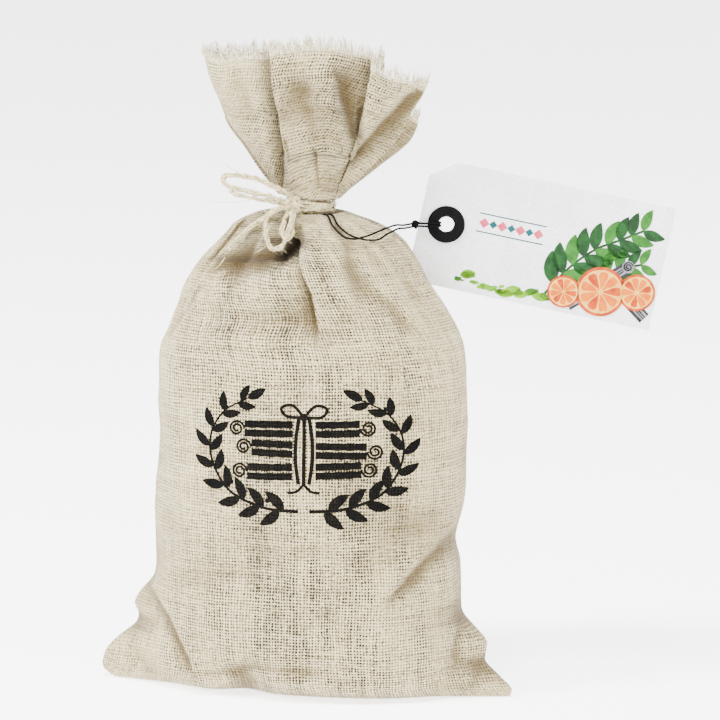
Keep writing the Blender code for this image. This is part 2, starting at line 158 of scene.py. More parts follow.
RUFFLE_FOLDS = [
    (((3.0, 199.0), (3.8, 186.0)), 0.7, 1.3, 3.4),
    (((-8.0, 203.0), (-6.6, 195.0)), 0.7, 1.3, 2.6),
    (((10.6, 223.0), (14.0, 205.0)), 5.0, 0.7, 5.5),
    (((36.0, 219.6), (26.0, 208.8), (16.4, 198.0)), 9.0, 0.6, 6.0),
    (((17.6, 214.0), (17.4, 202.0), (12.0, 188.0)), 2.6, 0.9, 3.0),
    (((-21.0, 229.0), (-13.0, 205.0), (-8.0, 190.0)), 2.6, 2.6, -1.2),
    (((-9.0, 212.0), (-3.0, 222.0)), 5.0, 5.0, 1.4),
    (((-1.0, 221.0), (2.0, 206.0)), 5.5, 5.5, 2.8),
    (((-26.0, 222.0), (-17.0, 200.0)), 4.0, 4.0, 1.0),
]
# The edge of the overlapping panel: the column that it follows (in rows of RIM), how far that
# column swings round at each height, in degrees, and its size.
EDGE_COLUMN = 7.5
EDGE_SWING = ((100, 0), (137, 0), (150, -2.5), (163, -11), (169, -16), (176.2, -18))
EDGE_DEPTH, EDGE_LIFT, EDGE_REACH = 6.0, 1.0, 5.0
EDGE_WIDTHS = (2.6, 4.2)
GATHERS, GATHER_DEPTH = 11, 1.1

FINE = 12  # columns of the cloth between two rows of RIM
AROUND = FINE * len(RIM)
BODY_RINGS = 150
RUFFLE_RINGS = 56
CLOTH = 0.55  # how thick the ruffle's cloth is
# Painted shade in folds: how far each test reaches, in columns and rings, and its weight.
PAINTED_SHADE_REACHES = ((2, 0.9), (5, 0.36), (11, 0.16), (20, 0.1))
# Painted shade on stretches of the ruffle: over its lower part, on a patch at the front, and most on the rear right
# panel in the shadow of the panel before it. Each row gives the first and last column (in rows of RIM), where up it
# fades, and how much.
RUFFLE_PAINTED_SHADES = ((-1.0, 29.0, 0.5, 0.16), (5.0, 9.6, 0.55, 0.16), (14.2, 17.2, 0.92, 0.75))  # in columns and rings, and the weight of each
BACK_OFFSET = 160.0  # cloth length from the middle of the front to the middle of the back

RING_MIDDLE = (47.7, 15.5, 170.0)
TAG_SIZE = (91.7, 46.4, 0.5)
TAG_CLIP = (9.3, 7.0)
TAG_HOLE_FROM_END = 10.0
RING_RADII = (2.9, 6.9)
TAG_TURN, TAG_ROLL = 8.0, -12.1

BOW_LOOP = [
    (-5.2, -9.2, 181.0),
    (-10.5, -10.2, 185.4),
    (-19.2, -9.0, 188.8),
    (-26.3, -8.0, 189.9),
    (-30.6, -8.3, 189.4),
    (-30.5, -9.6, 187.2),
    (-25.9, -10.8, 185.2),
    (-19.9, -11.4, 184.2),
    (-11.4, -11.8, 182.4),
    (-5.8, -11.2, 180.0),
]
FRONT_LOOP = [
    (-6.6, -11.6, 178.6),
    (-10.6, -14.4, 178.8),
    (-13.7, -16.2, 175.9),
    (-14.5, -16.8, 171.2),
    (-13.5, -17.0, 166.5),
    (-11.4, -17.0, 164.6),
    (-8.7, -17.0, 165.2),
    (-6.8, -17.2, 168.4),
    (-5.6, -15.6, 173.4),
    (-5.2, -12.0, 177.4),
]
TAIL = [
    (-6.2, -11.4, 179.4),
    (-9.8, -12.2, 178.4),
    (-14.0, -12.4, 176.2),
    (-18.7, -12.4, 172.9),
    (-21.8, -13.2, 170.4),
    (-24.6, -14.2, 168.0),
    (-28.4, -15.4, 163.6),
]
KNOT_MIDDLE = (-5.6, -10.0, 179.6)
BOW_UNDER = [
    (-6.0, -10.8, 179.6),
    (-12.4, -11.6, 181.0),
    (-19.0, -11.8, 182.0),
    (-25.0, -11.2, 182.9),
    (-28.6, -10.6, 184.6),
]
INNER_LOOP = [
    (-6.0, -11.6, 178.0),
    (-7.8, -14.0, 175.0),
    (-8.4, -16.4, 170.6),
    (-6.6, -17.6, 168.0),
    (-4.9, -16.6, 170.6),
    (-4.8, -13.8, 175.0),
    (-5.2, -11.8, 178.2),
]
WISPS = [
    [(-9.0, -10.6, 182.6), (-18.0, -11.0, 181.6), (-28.0, -11.6, 180.4), (-36.0, -12.4, 180.8), (-42.0, -12.0, 182.4)],
    [(-24.0, -8.4, 189.4), (-28.4, -8.4, 192.4), (-31.6, -9.0, 195.4)],
    [(-13.6, -17.0, 166.4), (-16.4, -17.4, 163.6), (-18.6, -17.2, 162.6)],
    [(-29.6, -16.2, 161.0), (-32.0, -17.0, 157.6), (-34.6, -17.4, 156.0)],
    [(1.0, -8.8, 181.6), (2.6, -9.8, 184.4), (5.6, -10.2, 186.0)],
]
TWINE_TILT = 0.11
KNOT_CORE = [-1.4 + 0.2 * k for k in range(15)]
TWINE_RISE = 3.0  # how far the wrap climbs
TWIST_LENGTH = 13.0
FRAY_STEP = 0.24

# The print on the cloth, from its middle, and the one on the tag, from the tag's hole.
PRINT_MIDDLE = (2.5, 93.6)
BRANCH = [(2.0, -22.0), (15.0, -21.0), (28.0, -15.6), (34.6, -5.0), (34.8, 5.0), (29.6, 13.6), (21.0, 18.6)]
LEAF_PAIRS = 9
STICKS = [(8.0, 0.02, -22.0, 20.0), (0.4, -0.02, -19.5, 22.5), (-7.4, 0.03, -21.0, 20.5)]
SPRAYS = [  # route, pairs of leaves, length of the first ones, their inks
    ([(41.0, -17.5), (48.0, -6.0), (56.0, 2.5), (64.5, 8.0), (72.0, 13.0)], 9, 12.5, ("leaf", "leaf_light")),
    ([(58.0, -8.0), (66.0, -3.0), (74.0, 0.5)], 4, 9.5, ("leaf_light", "leaf")),
]
TAG_STICKS = [((50.0, -20.0), (69.0, -1.5)), ((79.0, -19.0), (60.5, -6.0))]
SLICES = [(61.0, -12.6, 9.2, 0.2), (74.2, -10.2, 6.8, 0.5), (47.6, -15.4, 6.0, 0.0)]
ROW_START = (13.6, 3.4)
TAG_INKS = {
    "leaf": ((0.002, 0.02, 0.003), (0.004, 0.045, 0.006)),
    "leaf_light": ((0.01, 0.075, 0.006), (0.022, 0.12, 0.01)),
    "stick": ((0.02, 0.02, 0.021), (0.004, 0.004, 0.004)),
    "stick_light": ((0.2, 0.2, 0.205), (0.1, 0.1, 0.105)),
    "orange": ((0.42, 0.055, 0.0005), (0.26, 0.022, 0.0003)),
    "pith": ((0.62, 0.38, 0.09), (0.56, 0.26, 0.04)),
    "amber": ((0.52, 0.125, 0.001), (0.44, 0.075, 0.0006)),
    "dab": ((0.075, 0.22, 0.002), (0.13, 0.3, 0.006)),
    "dab_dark": ((0.012, 0.065, 0.001), (0.03, 0.11, 0.002)),
    "teal": ((0.0, 0.06, 0.07), (0.002, 0.05, 0.06)),
    "rose": ((0.42, 0.03, 0.075), (0.4, 0.06, 0.1)),
}

# The black cord: out from under the wrap, to the tag, through its hole and back.
CORD_OUT = [
    (4.6, -7.4, 175.8),
    (7.4, -10.9, 176.2),
    (10.0, -14.6, 172.8),
    (13.8, -17.0, 169.6),
    (17.4, -17.9, 168.8),
    (19.9, -17.6, 169.0),
    (24.1, -15.8, 170.2),
    (27.9, -12.0, 171.6),
    (31.4, -4.0, 172.1),
    (33.3, 4.0, 171.0),
    (35.4, 12.6, 170.35),
]
CORD_BACK = [
    (6.2, -6.4, 175.8),
    (9.0, -9.8, 176.2),
    (11.8, -13.2, 172.8),
    (15.4, -15.0, 170.2),
    (19.3, -15.8, 168.8),
    (23.2, -15.0, 168.0),
    (26.7, -13.4, 168.2),
    (29.0, -9.4, 169.5),
    (32.2, -2.8, 170.6),
    (33.8, 4.0, 169.9),
    (35.4, 12.6, 169.2),
]
HITCH = [
    (-10.0, 0.0, 1.3),
    (-7.6, 0.0, 1.8),
    (-5.0, 0.0, 1.95),
    (-3.4, 0.0, 1.9),
    (-2.35, 0.0, 1.25),
    (-2.05, 0.0, 0.0),
    (-2.35, 0.0, -1.25),
    (-3.4, 0.0, -1.9),
    (-5.0, 0.0, -1.95),
    (-7.6, 0.0, -1.8),
    (-10.4, 0.0, -1.2),
]
HITCH_RISE = 0.56
BIGHT = [(-11.4, 1.15, -1.0), (-12.6, 0.0, -0.9), (-11.4, -1.15, -1.0)]

# ---------------------------------------------------------------- camera

AZIMUTH, ELEVATION, DISTANCE = 8.0, 10.0, 1.6
AIM = Vector((0.01782, 0.0, 0.1212))
VIEW_WIDTH = 0.26467


def add_camera():
    turn, rise = math.radians(AZIMUTH), math.radians(ELEVATION)
    back = Vector((math.sin(turn) * math.cos(rise), -math.cos(turn) * math.cos(rise), math.sin(rise)))
    data = bpy.data.cameras.new("camera")
    data.sensor_width = 36.0
    data.lens = 36.0 * DISTANCE / VIEW_WIDTH
    data.clip_start, data.clip_end = 0.05, 50.0
    camera = bpy.data.objects.new("camera", data)
    camera.location = AIM + back * DISTANCE
    camera.rotation_euler = back.to_track_quat("Z", "Y").to_euler()
    bpy.context.scene.collection.objects.link(camera)
    bpy.context.scene.camera = camera


# ---------------------------------------------------------------- cloth shape


def hermite(a, b, c, d, t):
    return b + 0.5 * t * (c - a + t * (2 * a - 5 * b + 4 * c - d + t * (3 * (b - c) + d - a)))


def smooth_step(low, high, value):
    t = np.clip((value - low) / (high - low), 0.0, 1.0)
    return t * t * (3 - 2 * t)


def body_station(place):
    k = min(int(place), len(BODY) - 2)
    last = len(BODY) - 1
    nearby = [BODY[min(max(k + step, 0), last)] for step in (-1, 0, 1, 2)]
    return [hermite(*column, place - k) for column in zip(*nearby)]


def even_places(count):
    fine = 60
    places = [k / fine for k in range(fine * (len(BODY) - 1) + 1)]
    rows = [body_station(p) for p in places]
    lengths = [0.0]
    for low, high in zip(rows, rows[1:]):
        step = math.hypot(high[0] - low[0], (sum(high[1:]) - sum(low[1:])) / 3)
        lengths.append(lengths[-1] + step)
    goals = [lengths[-1] * j / count for j in range(count + 1)]
    return list(np.interp(goals, lengths, places))


def fold_depth(x, z, folds):
    """How far the cloth is pushed in at (x, z). A fold's far side may fall off at its own width."""
    total = np.zeros_like(x)
    for route, near, far, depth in folds:
        best = np.full_like(x, 1e9)
        side = np.zeros_like(x)
        for (x0, z0), (x1, z1) in zip(route, route[1:]):
            run = (x1 - x0) ** 2 + (z1 - z0) ** 2
            along = np.clip(((x - x0) * (x1 - x0) + (z - z0) * (z1 - z0)) / run, 0.0, 1.0)
            away = np.hypot(x - x0 - along * (x1 - x0), z - z0 - along * (z1 - z0))
            turn = (x1 - x0) * (z - z0) - (z1 - z0) * (x - x0)
            side = np.where(away < best, turn, side)
            best = np.minimum(best, away)
        width = np.where(side > 0, near, far)
        total += depth * np.exp(-((best / width) ** 2))
    return total


def lumps(points, size, height, seed):
    """Soft unevenness of the cloth, the same each time."""
    shift = Vector((seed * 17.3, seed * 5.1, seed * 9.7))
    return np.array([noise.noise(Vector(p) / size + shift) for p in points]) * height


def body_ring(angle, station, fold_offset):
    """The points of the body at these angles, as an array."""
    z, left, right, depth, corner_left, corner_right = station
    across, back = np.cos(angle), np.sin(angle)
    half_width = np.where(across > 0, right, left)
    corner = np.where(across > 0, corner_right, corner_left)
    pinch = np.exp(-((back / 0.2) ** 2)) * np.minimum(corner / 12.0, 1.0)
    fullness = 0.74 + 0.18 * float(smooth_step(10, 70, z))
    x = half_width * np.copysign(np.abs(across) ** fullness, across)
    x += np.copysign(corner * np.exp(-((back / 0.24) ** 2)), across)
    y = depth * np.copysign(np.abs(back) ** (fullness + 0.04), back) * (1 - 0.5 * pinch)
    y -= LEAN_OUT * x / half_width * (1 - float(smooth_step(20, 90, z)))
    y -= CORNERS_FORWARD * np.minimum(corner / 20.0, 1.0) * np.exp(-((back / 0.4) ** 2))
    gather = np.sin(GATHERS * angle + 0.7) + 0.6 * np.sin(23 * angle + 2.0)
    gather = gather * GATHER_DEPTH * float(smooth_step(128, 166, z) * (1 - smooth_step(171, 175, z)))
    rough = lumps(np.stack([x, y, np.full_like(x, z)], 1), 24.0, 1.3, 1)
    rough += lumps(np.stack([x, y, np.full_like(x, z)], 1), 8.0, 0.35, 2)
    rough *= float(smooth_step(0, 12, z) * (1 - smooth_step(168, 176, z)))
    # the overlapping edge of the panel that runs down from the knot
    edge = EDGE_DEPTH * np.where(fold_offset < 0, np.exp(fold_offset / EDGE_REACH), 0.0)
    edge -= EDGE_LIFT * np.where(fold_offset >= 0, np.exp(-fold_offset / EDGE_REACH), 0.0)
    edge *= float(smooth_step(128, 143, z) * (1 - smooth_step(172, 176, z)))
    x -= across * (gather + rough)
    y -= back * (gather + rough)
    flat_z = np.full_like(x, z)
    front = np.maximum(-back, 0.0) ** 0.5
    y += (fold_depth(x, flat_z, FOLDS) + edge) * front
    y -= fold_depth(x, flat_z, BACK_FOLDS) * np.maximum(back, 0.0) ** 0.5
    return np.stack([x, y, flat_z], axis=1)


def rim_curve():
    count = len(RIM)
    points = []
    for k in range(AROUND):
        i, t = k // FINE, (k % FINE) / FINE
        nearby = [RIM[(i + step) % count] for step in (-1, 0, 1, 2)]
        points.append([hermite(*(p[c] for p in nearby), t) for c in range(3)])
    return np.array(points) - (0, 0, HEM_DROP)


def neck_angles(rim):
    """The angle round the neck that each column of the ruffle starts from, always growing."""
    flat_x = (rim[:, 0] - RIM_MIDDLE[0]) / RIM_SPAN[0]
    flat_y = (rim[:, 1] - RIM_MIDDLE[1]) / RIM_SPAN[1]
    angles = np.unwrap(np.arctan2(flat_y, flat_x))
    angles += 2 * math.pi if angles[0] < 0 else 0
    grown, shrunk = np.maximum.accumulate(angles), np.minimum.accumulate(angles[::-1])[::-1]
    angles = (grown + shrunk) / 2 + np.arange(AROUND) * 0.0002
    return angles, np.minimum(np.hypot(flat_x, flat_y), 1.0)


def cloth_rings():
    """The outer side of the cloth, ring by ring from the base's edge up to the ruffle's."""
    rim = rim_curve()
    rim_angles, rim_reach = neck_angles(rim)
    column = np.arange(AROUND) / FINE
    even = math.pi + 2 * math.pi * np.arange(AROUND) / AROUND
    turn = (rim_angles - even + math.pi) % (2 * math.pi) - math.pi
    rings = []
    for place in even_places(BODY_RINGS):
        station = body_station(place)
        z = station[0]
        reach = np.where(column < EDGE_COLUMN, *EDGE_WIDTHS)
        falloff = np.clip(1 - np.abs(column - EDGE_COLUMN) / reach, 0.0, 1.0)
        swing = math.radians(float(np.interp(z, *zip(*EDGE_SWING))))
        top = place > len(BODY) - 3
        angle = even + turn * float(smooth_step(120, 172, 174.0 if top else z)) + swing * falloff
        offset = (column - EDGE_COLUMN) * 2 * math.pi / len(RIM) * (station[1] + station[3]) / 2
        rings.append(body_ring(angle, station, offset))
    radius = NECK_RADIUS * (0.86 + 0.14 * rim_reach)
    half_wrap = TWINE_RISE / 2 + 0.4
    for z in (TIE_HEIGHT - half_wrap, TIE_HEIGHT, TIE_HEIGHT + half_wrap):
        rings.append(np.stack([radius * np.cos(rim_angles), radius * np.sin(rim_angles), np.full(AROUND, z)], 1))
    rings[-1][:, 2] -= TWINE_TILT * rings[-1][:, 0]
    foot = rings[-1] * (1.6, 1.25, 1.0) + (-0.6, 0, 0.5)
    rings.append(foot)
    middle = np.array([*RIM_MIDDLE, 0.0])
    for j in range(1, RUFFLE_RINGS + 1):
        t = j / RUFFLE_RINGS
        spread = 1 - (1 - t) ** 1.42
        ring = foot + (rim - foot) * np.array([spread, spread, t])
        out = ring - middle
        out[:, 2] = 0
        out /= np.maximum(np.linalg.norm(out, axis=1, keepdims=True), 1e-9)
        wave = lumps(ring, 13.0, 1.5, 3) + lumps(ring, 5.0, 0.3, 4)
        folds = fold_depth(ring[:, 0], ring[:, 2], RUFFLE_FOLDS) * smooth_step(3.0, 0.0, ring[:, 1])
        ease = math.sin(math.pi * min(t * 1.2, 1.0) / 2)
        ring = ring + out * (wave * ease)[:, None]
        ring[:, 1] += folds * ease
        rings.append(ring)
    return np.array(rings)


def panel_of(columns):
    """Which panel of cloth each column's faces belong to, between two creases."""
    place = columns / FINE
    return np.searchsorted(np.array(CREASES), place, side="right") % len(CREASES)


def weave_places(outer):
    """For each ring and column the length of cloth round from the first column, and up from the base."""
    step = np.linalg.norm(np.roll(outer, -1, axis=1) - outer, axis=2)
    around = np.concatenate([np.zeros((len(outer), 1)), np.cumsum(step, axis=1)], axis=1)
    rise = np.linalg.norm(np.diff(outer, axis=0), axis=2)
    level = np.cumsum(rise.mean(axis=1))
    up = np.repeat(np.append(0.0, level)[:, None], outer.shape[1] + 1, axis=1)
    down = np.cumsum(rise[::-1], axis=0)[: RUFFLE_RINGS][::-1]
    for _ in range(3):
        down = sum(np.roll(down, k, axis=1) for k in range(-9, 10)) / 19
    top = np.append(0.0, level)[-1]
    up[-RUFFLE_RINGS - 1 : -1, :-1] = top - down
    up[:, -1] = up[:, 0]
    return around, up


def painted_fold_shade(outer, normal):
    """How much painted shade each point of the cloth gets, from 0 to 1: more the deeper it lies in a fold, and more on
    some stretches of the ruffle.
    """
    total = np.zeros(outer.shape[:2])
    rows = np.arange(len(outer))
    for reach, weight in PAINTED_SHADE_REACHES:
        beside = (np.roll(outer, reach, axis=1) + np.roll(outer, -reach, axis=1)) / 2
        low, high = np.maximum(rows - reach, 0), np.minimum(rows + reach, len(rows) - 1)
        above = (outer[low] + outer[high]) / 2
        for middle in (beside, above):
            total += weight * np.maximum(((middle - outer) * normal).sum(axis=2), 0.0)
    column = np.arange(AROUND)[None, :] / FINE
    up = np.arange(1, RUFFLE_RINGS + 1)[:, None] / RUFFLE_RINGS
    # Painted shade laid on whole stretches of the ruffle.
    for first, last, fade, amount in RUFFLE_PAINTED_SHADES:
        inside = smooth_step(first - 0.4, first + 0.4, column) * smooth_step(last + 0.4, last - 0.4, column)
        total[-RUFFLE_RINGS:] += amount * inside * smooth_step(min(fade + 0.5, 1.06), fade, up)
    # No painted shade at the rim, and less painted shade where the twine holds it.
    total[-4:] = 0.0
    total[-RUFFLE_RINGS - 6 : -RUFFLE_RINGS + 2] *= 0.15  # where the twine holds it
    return 1 - np.exp(-total)


def mesh_from(name, points, faces):
    data = bpy.data.meshes.new(name)
    data.from_pydata([tuple(p) for p in np.asarray(points) * MM], [], faces)
    data.update()
    made = bpy.data.objects.new(name, data)
    bpy.context.scene.collection.objects.link(made)
    return made


def make_cloth(finish):
    outer = cloth_rings()
    count = len(outer)
    ruffle_from = count - RUFFLE_RINGS - 1
    around, up = weave_places(outer)
    even_ring = int(np.argmax(outer[:, :, 2].mean(axis=1) > 100.0))
    middles = np.array([m * FINE for m in PANEL_MIDDLES])
    # the ruffle's inner side, a cloth's thickness in from its outer side
    along = np.roll(outer, -1, axis=1) - np.roll(outer, 1, axis=1)
    rise = np.gradient(outer, axis=0)
    normal = np.cross(along, rise)
    normal /= np.maximum(np.linalg.norm(normal, axis=2, keepdims=True), 1e-9)
    inner = (outer - normal * CLOTH)[ruffle_from:][::-1]
    painted_shade = painted_fold_shade(outer, normal)
    # Painted shade: the folds' amount on the outer side, and an even 0.35 on the ruffle's inner side.
    painted_shade = np.concatenate([painted_shade[:1], painted_shade, np.full((RUFFLE_RINGS + 1, AROUND), 0.35)])
    rings = [outer[0] * (0.6, 0.6, 0.0), *outer, *inner]
    source = [0, *range(count), *range(count - 1, ruffle_from - 1, -1)]
    points = np.concatenate(rings)
    faces, corners, shades = [], [], []
    columns = np.arange(AROUND)
    panel = panel_of(columns)
    front = 7 * FINE
    darts = smooth_step(98.0, 126.0, outer[:, :, 2].mean(axis=1))
    darts[ruffle_from - 6 :] = 1.0

    def from_middle(ring, k, middle):
        """Cloth length round this ring from a column, the short way, to column k."""
        length = around[ring, -1]
        turns, place = divmod(middle, AROUND)
        gap = around[ring, k] - np.interp(place, np.arange(AROUND + 1), around[ring]) - turns * length
        return gap - length if gap > length / 2 else gap + length if gap < -length / 2 else gap

    def across(ring, k, which, back):
        """Cloth length from the middle of the front, or of the back, to column k."""
        side_middle, side_offset = (21 * FINE, BACK_OFFSET) if back else (front, 0.0)
        plain_length = side_offset + from_middle(ring, k, side_middle)
        pleat_middle = side_offset + from_middle(even_ring, int(middles[which]) % AROUND, side_middle)
        pleated = pleat_middle + from_middle(ring, k, middles[which])
        return darts[ring] * pleated + (1 - darts[ring]) * plain_length

    for j in range(len(rings) - 1):
        base, low, high = j * AROUND, source[j], source[j + 1]
        for k in range(AROUND):
            n = (k + 1) % AROUND
            faces.append((base + k, base + n, base + AROUND + n, base + AROUND + k))
            w, back = panel[k], k >= 14 * FINE
            corners.append((across(low, k, w, back), up[low, k]))
            corners.append((across(low, k + 1, w, back), up[low, n]))
            corners.append((across(high, k + 1, w, back), up[high, n]))
            corners.append((across(high, k, w, back), up[high, k]))
            shades += [painted_shade[j, k], painted_shade[j, n], painted_shade[j + 1, n], painted_shade[j + 1, k]]
    points = np.vstack([points, [[0, 0, 0]], [points[-AROUND:].mean(axis=0) - (0, 0, 2)]])
    low, high = len(points) - 2, len(points) - 1
    last = (len(rings) - 1) * AROUND
    for k in range(AROUND):
        n = (k + 1) % AROUND
        faces.append((k, low, n))
        corners += [(points[i][0], points[i][1]) for i in (k, low, n)]
        faces.append((last + k, last + n, high))
        corners += [(points[i][0], points[i][1]) for i in (last + k, last + n, high)]
    cloth = mesh_from("linen_cloth", points, faces)
    layer = cloth.data.uv_layers.new(name="weave")
    layer.data.foreach_set("uv", np.array(corners, dtype=np.float32).ravel() * 0.01)
    shades += [0.0] * (len(corners) - len(shades))
    layer = cloth.data.uv_layers.new(name="painted_shade")
    layer.data.foreach_set("uv", np.stack([shades, np.zeros(len(shades))], 1).astype(np.float32).ravel())
    cloth.data.shade_smooth()
    cloth.data.materials.append(finish)
    return cloth, outer


# ---------------------------------------------------------------- strands


def smooth_route(points, spacing):
    points = [Vector(p) for p in points]
    ends = [2 * points[0] - points[1], *points, 2 * points[-1] - points[-2]]
    route = [points[0]]
    for k in range(1, len(ends) - 2):
        nearby = ends[k - 1 : k + 3]
        steps = max(2, round((nearby[2] - nearby[1]).length / spacing))
        for step in range(1, steps + 1):
            t = step / steps
            route.append(Vector([hermite(*(p[c] for p in nearby), t) for c in range(3)]))
    return route


def frames_along(route):
    """A normal and a binormal at each point of the route, turning as little as they can."""
    tangents = []
    for k in range(len(route)):
        a, b = route[max(k - 1, 0)], route[min(k + 1, len(route) - 1)]
        tangents.append((b - a).normalized())
    normal = tangents[0].orthogonal().normalized()
    frames = []
    for tangent in tangents:
        normal = (normal - tangent * normal.dot(tangent)).normalized()
        frames.append((normal.copy(), tangent.cross(normal)))
    return frames


def sweep(points, faces, route, radius, sides, taper=False):
    """Add a round tube along the route to these lists; radius is a number or one for each point."""
    start = len(points)
    radii = radius if isinstance(radius, (list, tuple)) else [radius] * len(route)
    for place, (n, b), r in zip(route, frames_along(route), radii):
        for s in range(sides):
            a = 2 * math.pi * s / sides
            points.append(place + (n * math.cos(a) + b * math.sin(a)) * r)
    for k in range(len(route) - 1):
        for s in range(sides):
            t = (s + 1) % sides
            row = start + k * sides
            faces.append((row + s, row + t, row + sides + t, row + sides + s))
    faces.append(tuple(start + s for s in reversed(range(sides))))
    faces.append(tuple(start + (len(route) - 1) * sides + s for s in range(sides)))


def ply_route(route, turn_length, offset, phase):
    """A helix round the route: one ply of a twisted twine."""
    made, travelled = [], 0.0
    frames = frames_along(route)
    for k, (place, (n, b)) in enumerate(zip(route, frames)):
        if k:
            travelled += (place - route[k - 1]).length
        a = 2 * math.pi * travelled / turn_length + phase
        made.append(place + (n * math.cos(a) + b * math.sin(a)) * offset)
    return made


def wrap_route():
    radius = NECK_RADIUS + GAP + TWINE_RADIUS
    steps = round(WRAP_TURNS * 60)
    route = []
    for k in range(steps + 1):
        angle = math.radians(WRAP_START) + 2 * math.pi * WRAP_TURNS * k / steps
        z = TIE_HEIGHT - 0.4 + TWINE_RISE * (k / steps - 0.5) + 0.35 * math.sin(2.7 * angle)
        z -= TWINE_TILT * radius * math.cos(angle)
        route.append(Vector((radius * math.cos(angle), radius * math.sin(angle), z)))
    return route


def wander(route, size, reach, seed):
    """The route, bent a little this way and that."""
    shift = Vector((seed * 3.7, seed * 1.9, seed * 7.1))
    return [place + noise.noise_vector(place / size + shift) * reach for place in route]


def knot_routes():
    """Two tight turns of the twine round each other, in front of the wrap."""
    middle = Vector(KNOT_MIDDLE)
    for tilt, size, turns in ((0.5, 2.7, 1.3), (-0.9, 2.2, 1.3), (1.9, 1.8, 1.2)):
        route = []
        for k in range(29):
            a = 2 * math.pi * turns * k / 28 + tilt
            flat = Vector((0.75 * size * math.cos(a), 0.45 * math.sin(2 * a) - 0.9, size * math.sin(a)))
            flat.rotate(Matrix.Rotation(tilt, 3, "Y"))
            route.append(middle + flat)
        yield route
    yield [middle + Vector((0.7 * t, -0.6 - 0.5 * math.cos(t), 1.5 * t * (1 if t > 0 else 0.8))) for t in KNOT_CORE]


def make_twine(finish):
    rng = random.Random(11)
    points, faces = [], []
    bundles = [(wrap_route(), 8, 0.55)]
    bundles += [(smooth_route(r, 0.6), 11, 0.66) for r in (BOW_LOOP, FRONT_LOOP, TAIL)]
    bundles += [(smooth_route(r, 0.6), 7, 0.55) for r in (BOW_UNDER, INNER_LOOP)]
    bundles += [(route, 8, 0.6) for route in knot_routes()]
    for number, (route, strands, spread) in enumerate(bundles):
        for s in range(strands):
            phase = 2 * math.pi * s / strands + rng.uniform(-0.5, 0.5)
            strand = ply_route(route, TWIST_LENGTH * rng.uniform(0.8, 1.3), spread * rng.uniform(0.35, 1.2), phase)
            strand = wander(strand, 4.0, 0.5, number * 7 + s)
            base = rng.uniform(0.13, 0.3)
            radii = [base * (1 + 0.3 * noise.noise(place / 2.5)) for place in strand]
            sweep(points, faces, strand, radii, 6)
        for _ in range(int(len(route) * 1.8)):
            k = rng.randrange(2, len(route) - 2)
            start = route[k] + Vector([rng.uniform(-1, 1) for _ in range(3)]) * spread
            along = (route[k + 1] - route[k - 1]).normalized() * rng.choice((-1, 1))
            lean = Vector([rng.gauss(0, 0.5) for _ in range(3)])
            length = rng.uniform(0.8, 3.4)
            hair = [start + (along * t + lean * t * t) * length for t in (0.0, 0.25, 0.5, 0.75, 1.0)]
            sweep(points, faces, hair, [0.08, 0.07, 0.06, 0.05, 0.03], 3)
    for route in WISPS:
        strand = wander(smooth_route(route, 1.0), 4.0, 0.5, len(route))
        steps = len(strand) - 1
        sweep(points, faces, strand, [0.2 - 0.15 * k / steps for k in range(steps + 1)], 5)
    twine = mesh_from("jute_twine", points, faces)
    twine.data.shade_smooth()
    twine.data.materials.append(finish)
    return twine


# ---------------------------------------------------------------- frayed edge


def make_fringe(outer, finish):
    """Loose ends of the ruffle's upright threads, in uneven tufts along its edge."""
    rng = random.Random(3)
    rim, below = outer[-1], outer[-5]
    step = np.linalg.norm(np.roll(rim, -1, axis=0) - rim, axis=1)
    length = float(step.sum())
    travelled = np.concatenate([[0.0], np.cumsum(step)])
    points, faces = [], []
    for number in range(int(length / FRAY_STEP)):
        at = number * FRAY_STEP + rng.uniform(-0.2, 0.2)
        place = float(np.interp(at % length, travelled, np.arange(AROUND + 1)))
        k = int(place) % AROUND
        share = place - int(place)
        foot = Vector(rim[k] * (1 - share) + rim[(k + 1) % AROUND] * share)
        up = Vector(rim[k] - below[k]).normalized()
        side = Vector(rim[(k + 1) % AROUND] - rim[k - 1]).normalized()
        out = side.cross(up)
        tuft = noise.noise(Vector((at / 3.4, 2.0, 0.0)))
        clump = noise.noise(Vector((at / 1.8, 9.0, 4.0)))
        fine = number % 3 == 0
        reach = max(1.6, 4.6 + 3.4 * tuft + rng.uniform(-1.0, 1.2)) * (1.15 if fine else 1.0)
        lean = side * (1.1 * clump + rng.gauss(0, 0.16)) + out * rng.gauss(0, 0.28)
        curl = side * rng.gauss(0, 0.44) + out * rng.gauss(0, 0.36)
        phase = rng.uniform(0, 6)
        thread = []
        for j in range(8):
            t = j / 7
            bend = curl * math.sin(5 * t + phase) * t * 1.4
            thread.append(foot + up * (reach * t - 0.8) + lean * (t * t * 1.8) + bend)
        base = 0.09 if fine else rng.uniform(0.19, 0.3)
        sweep(points, faces, thread, [base * (1 - 0.6 * j / 7) for j in range(8)], 4)
    fringe = mesh_from("linen_fringe", points, faces)
    fringe.data.shade_smooth()
    fringe.data.materials.append(finish)
    return fringe


# ---------------------------------------------------------------- tag and cord


def hole_frame():
    upright = Matrix.Rotation(math.radians(90), 4, "X")
    return Matrix.Translation(Vector(RING_MIDDLE)) @ Matrix.Rotation(math.radians(TAG_TURN), 4, "Z") @ upright


def tag_frame():
    return hole_frame() @ Matrix.Rotation(math.radians(TAG_ROLL), 4, "Z")


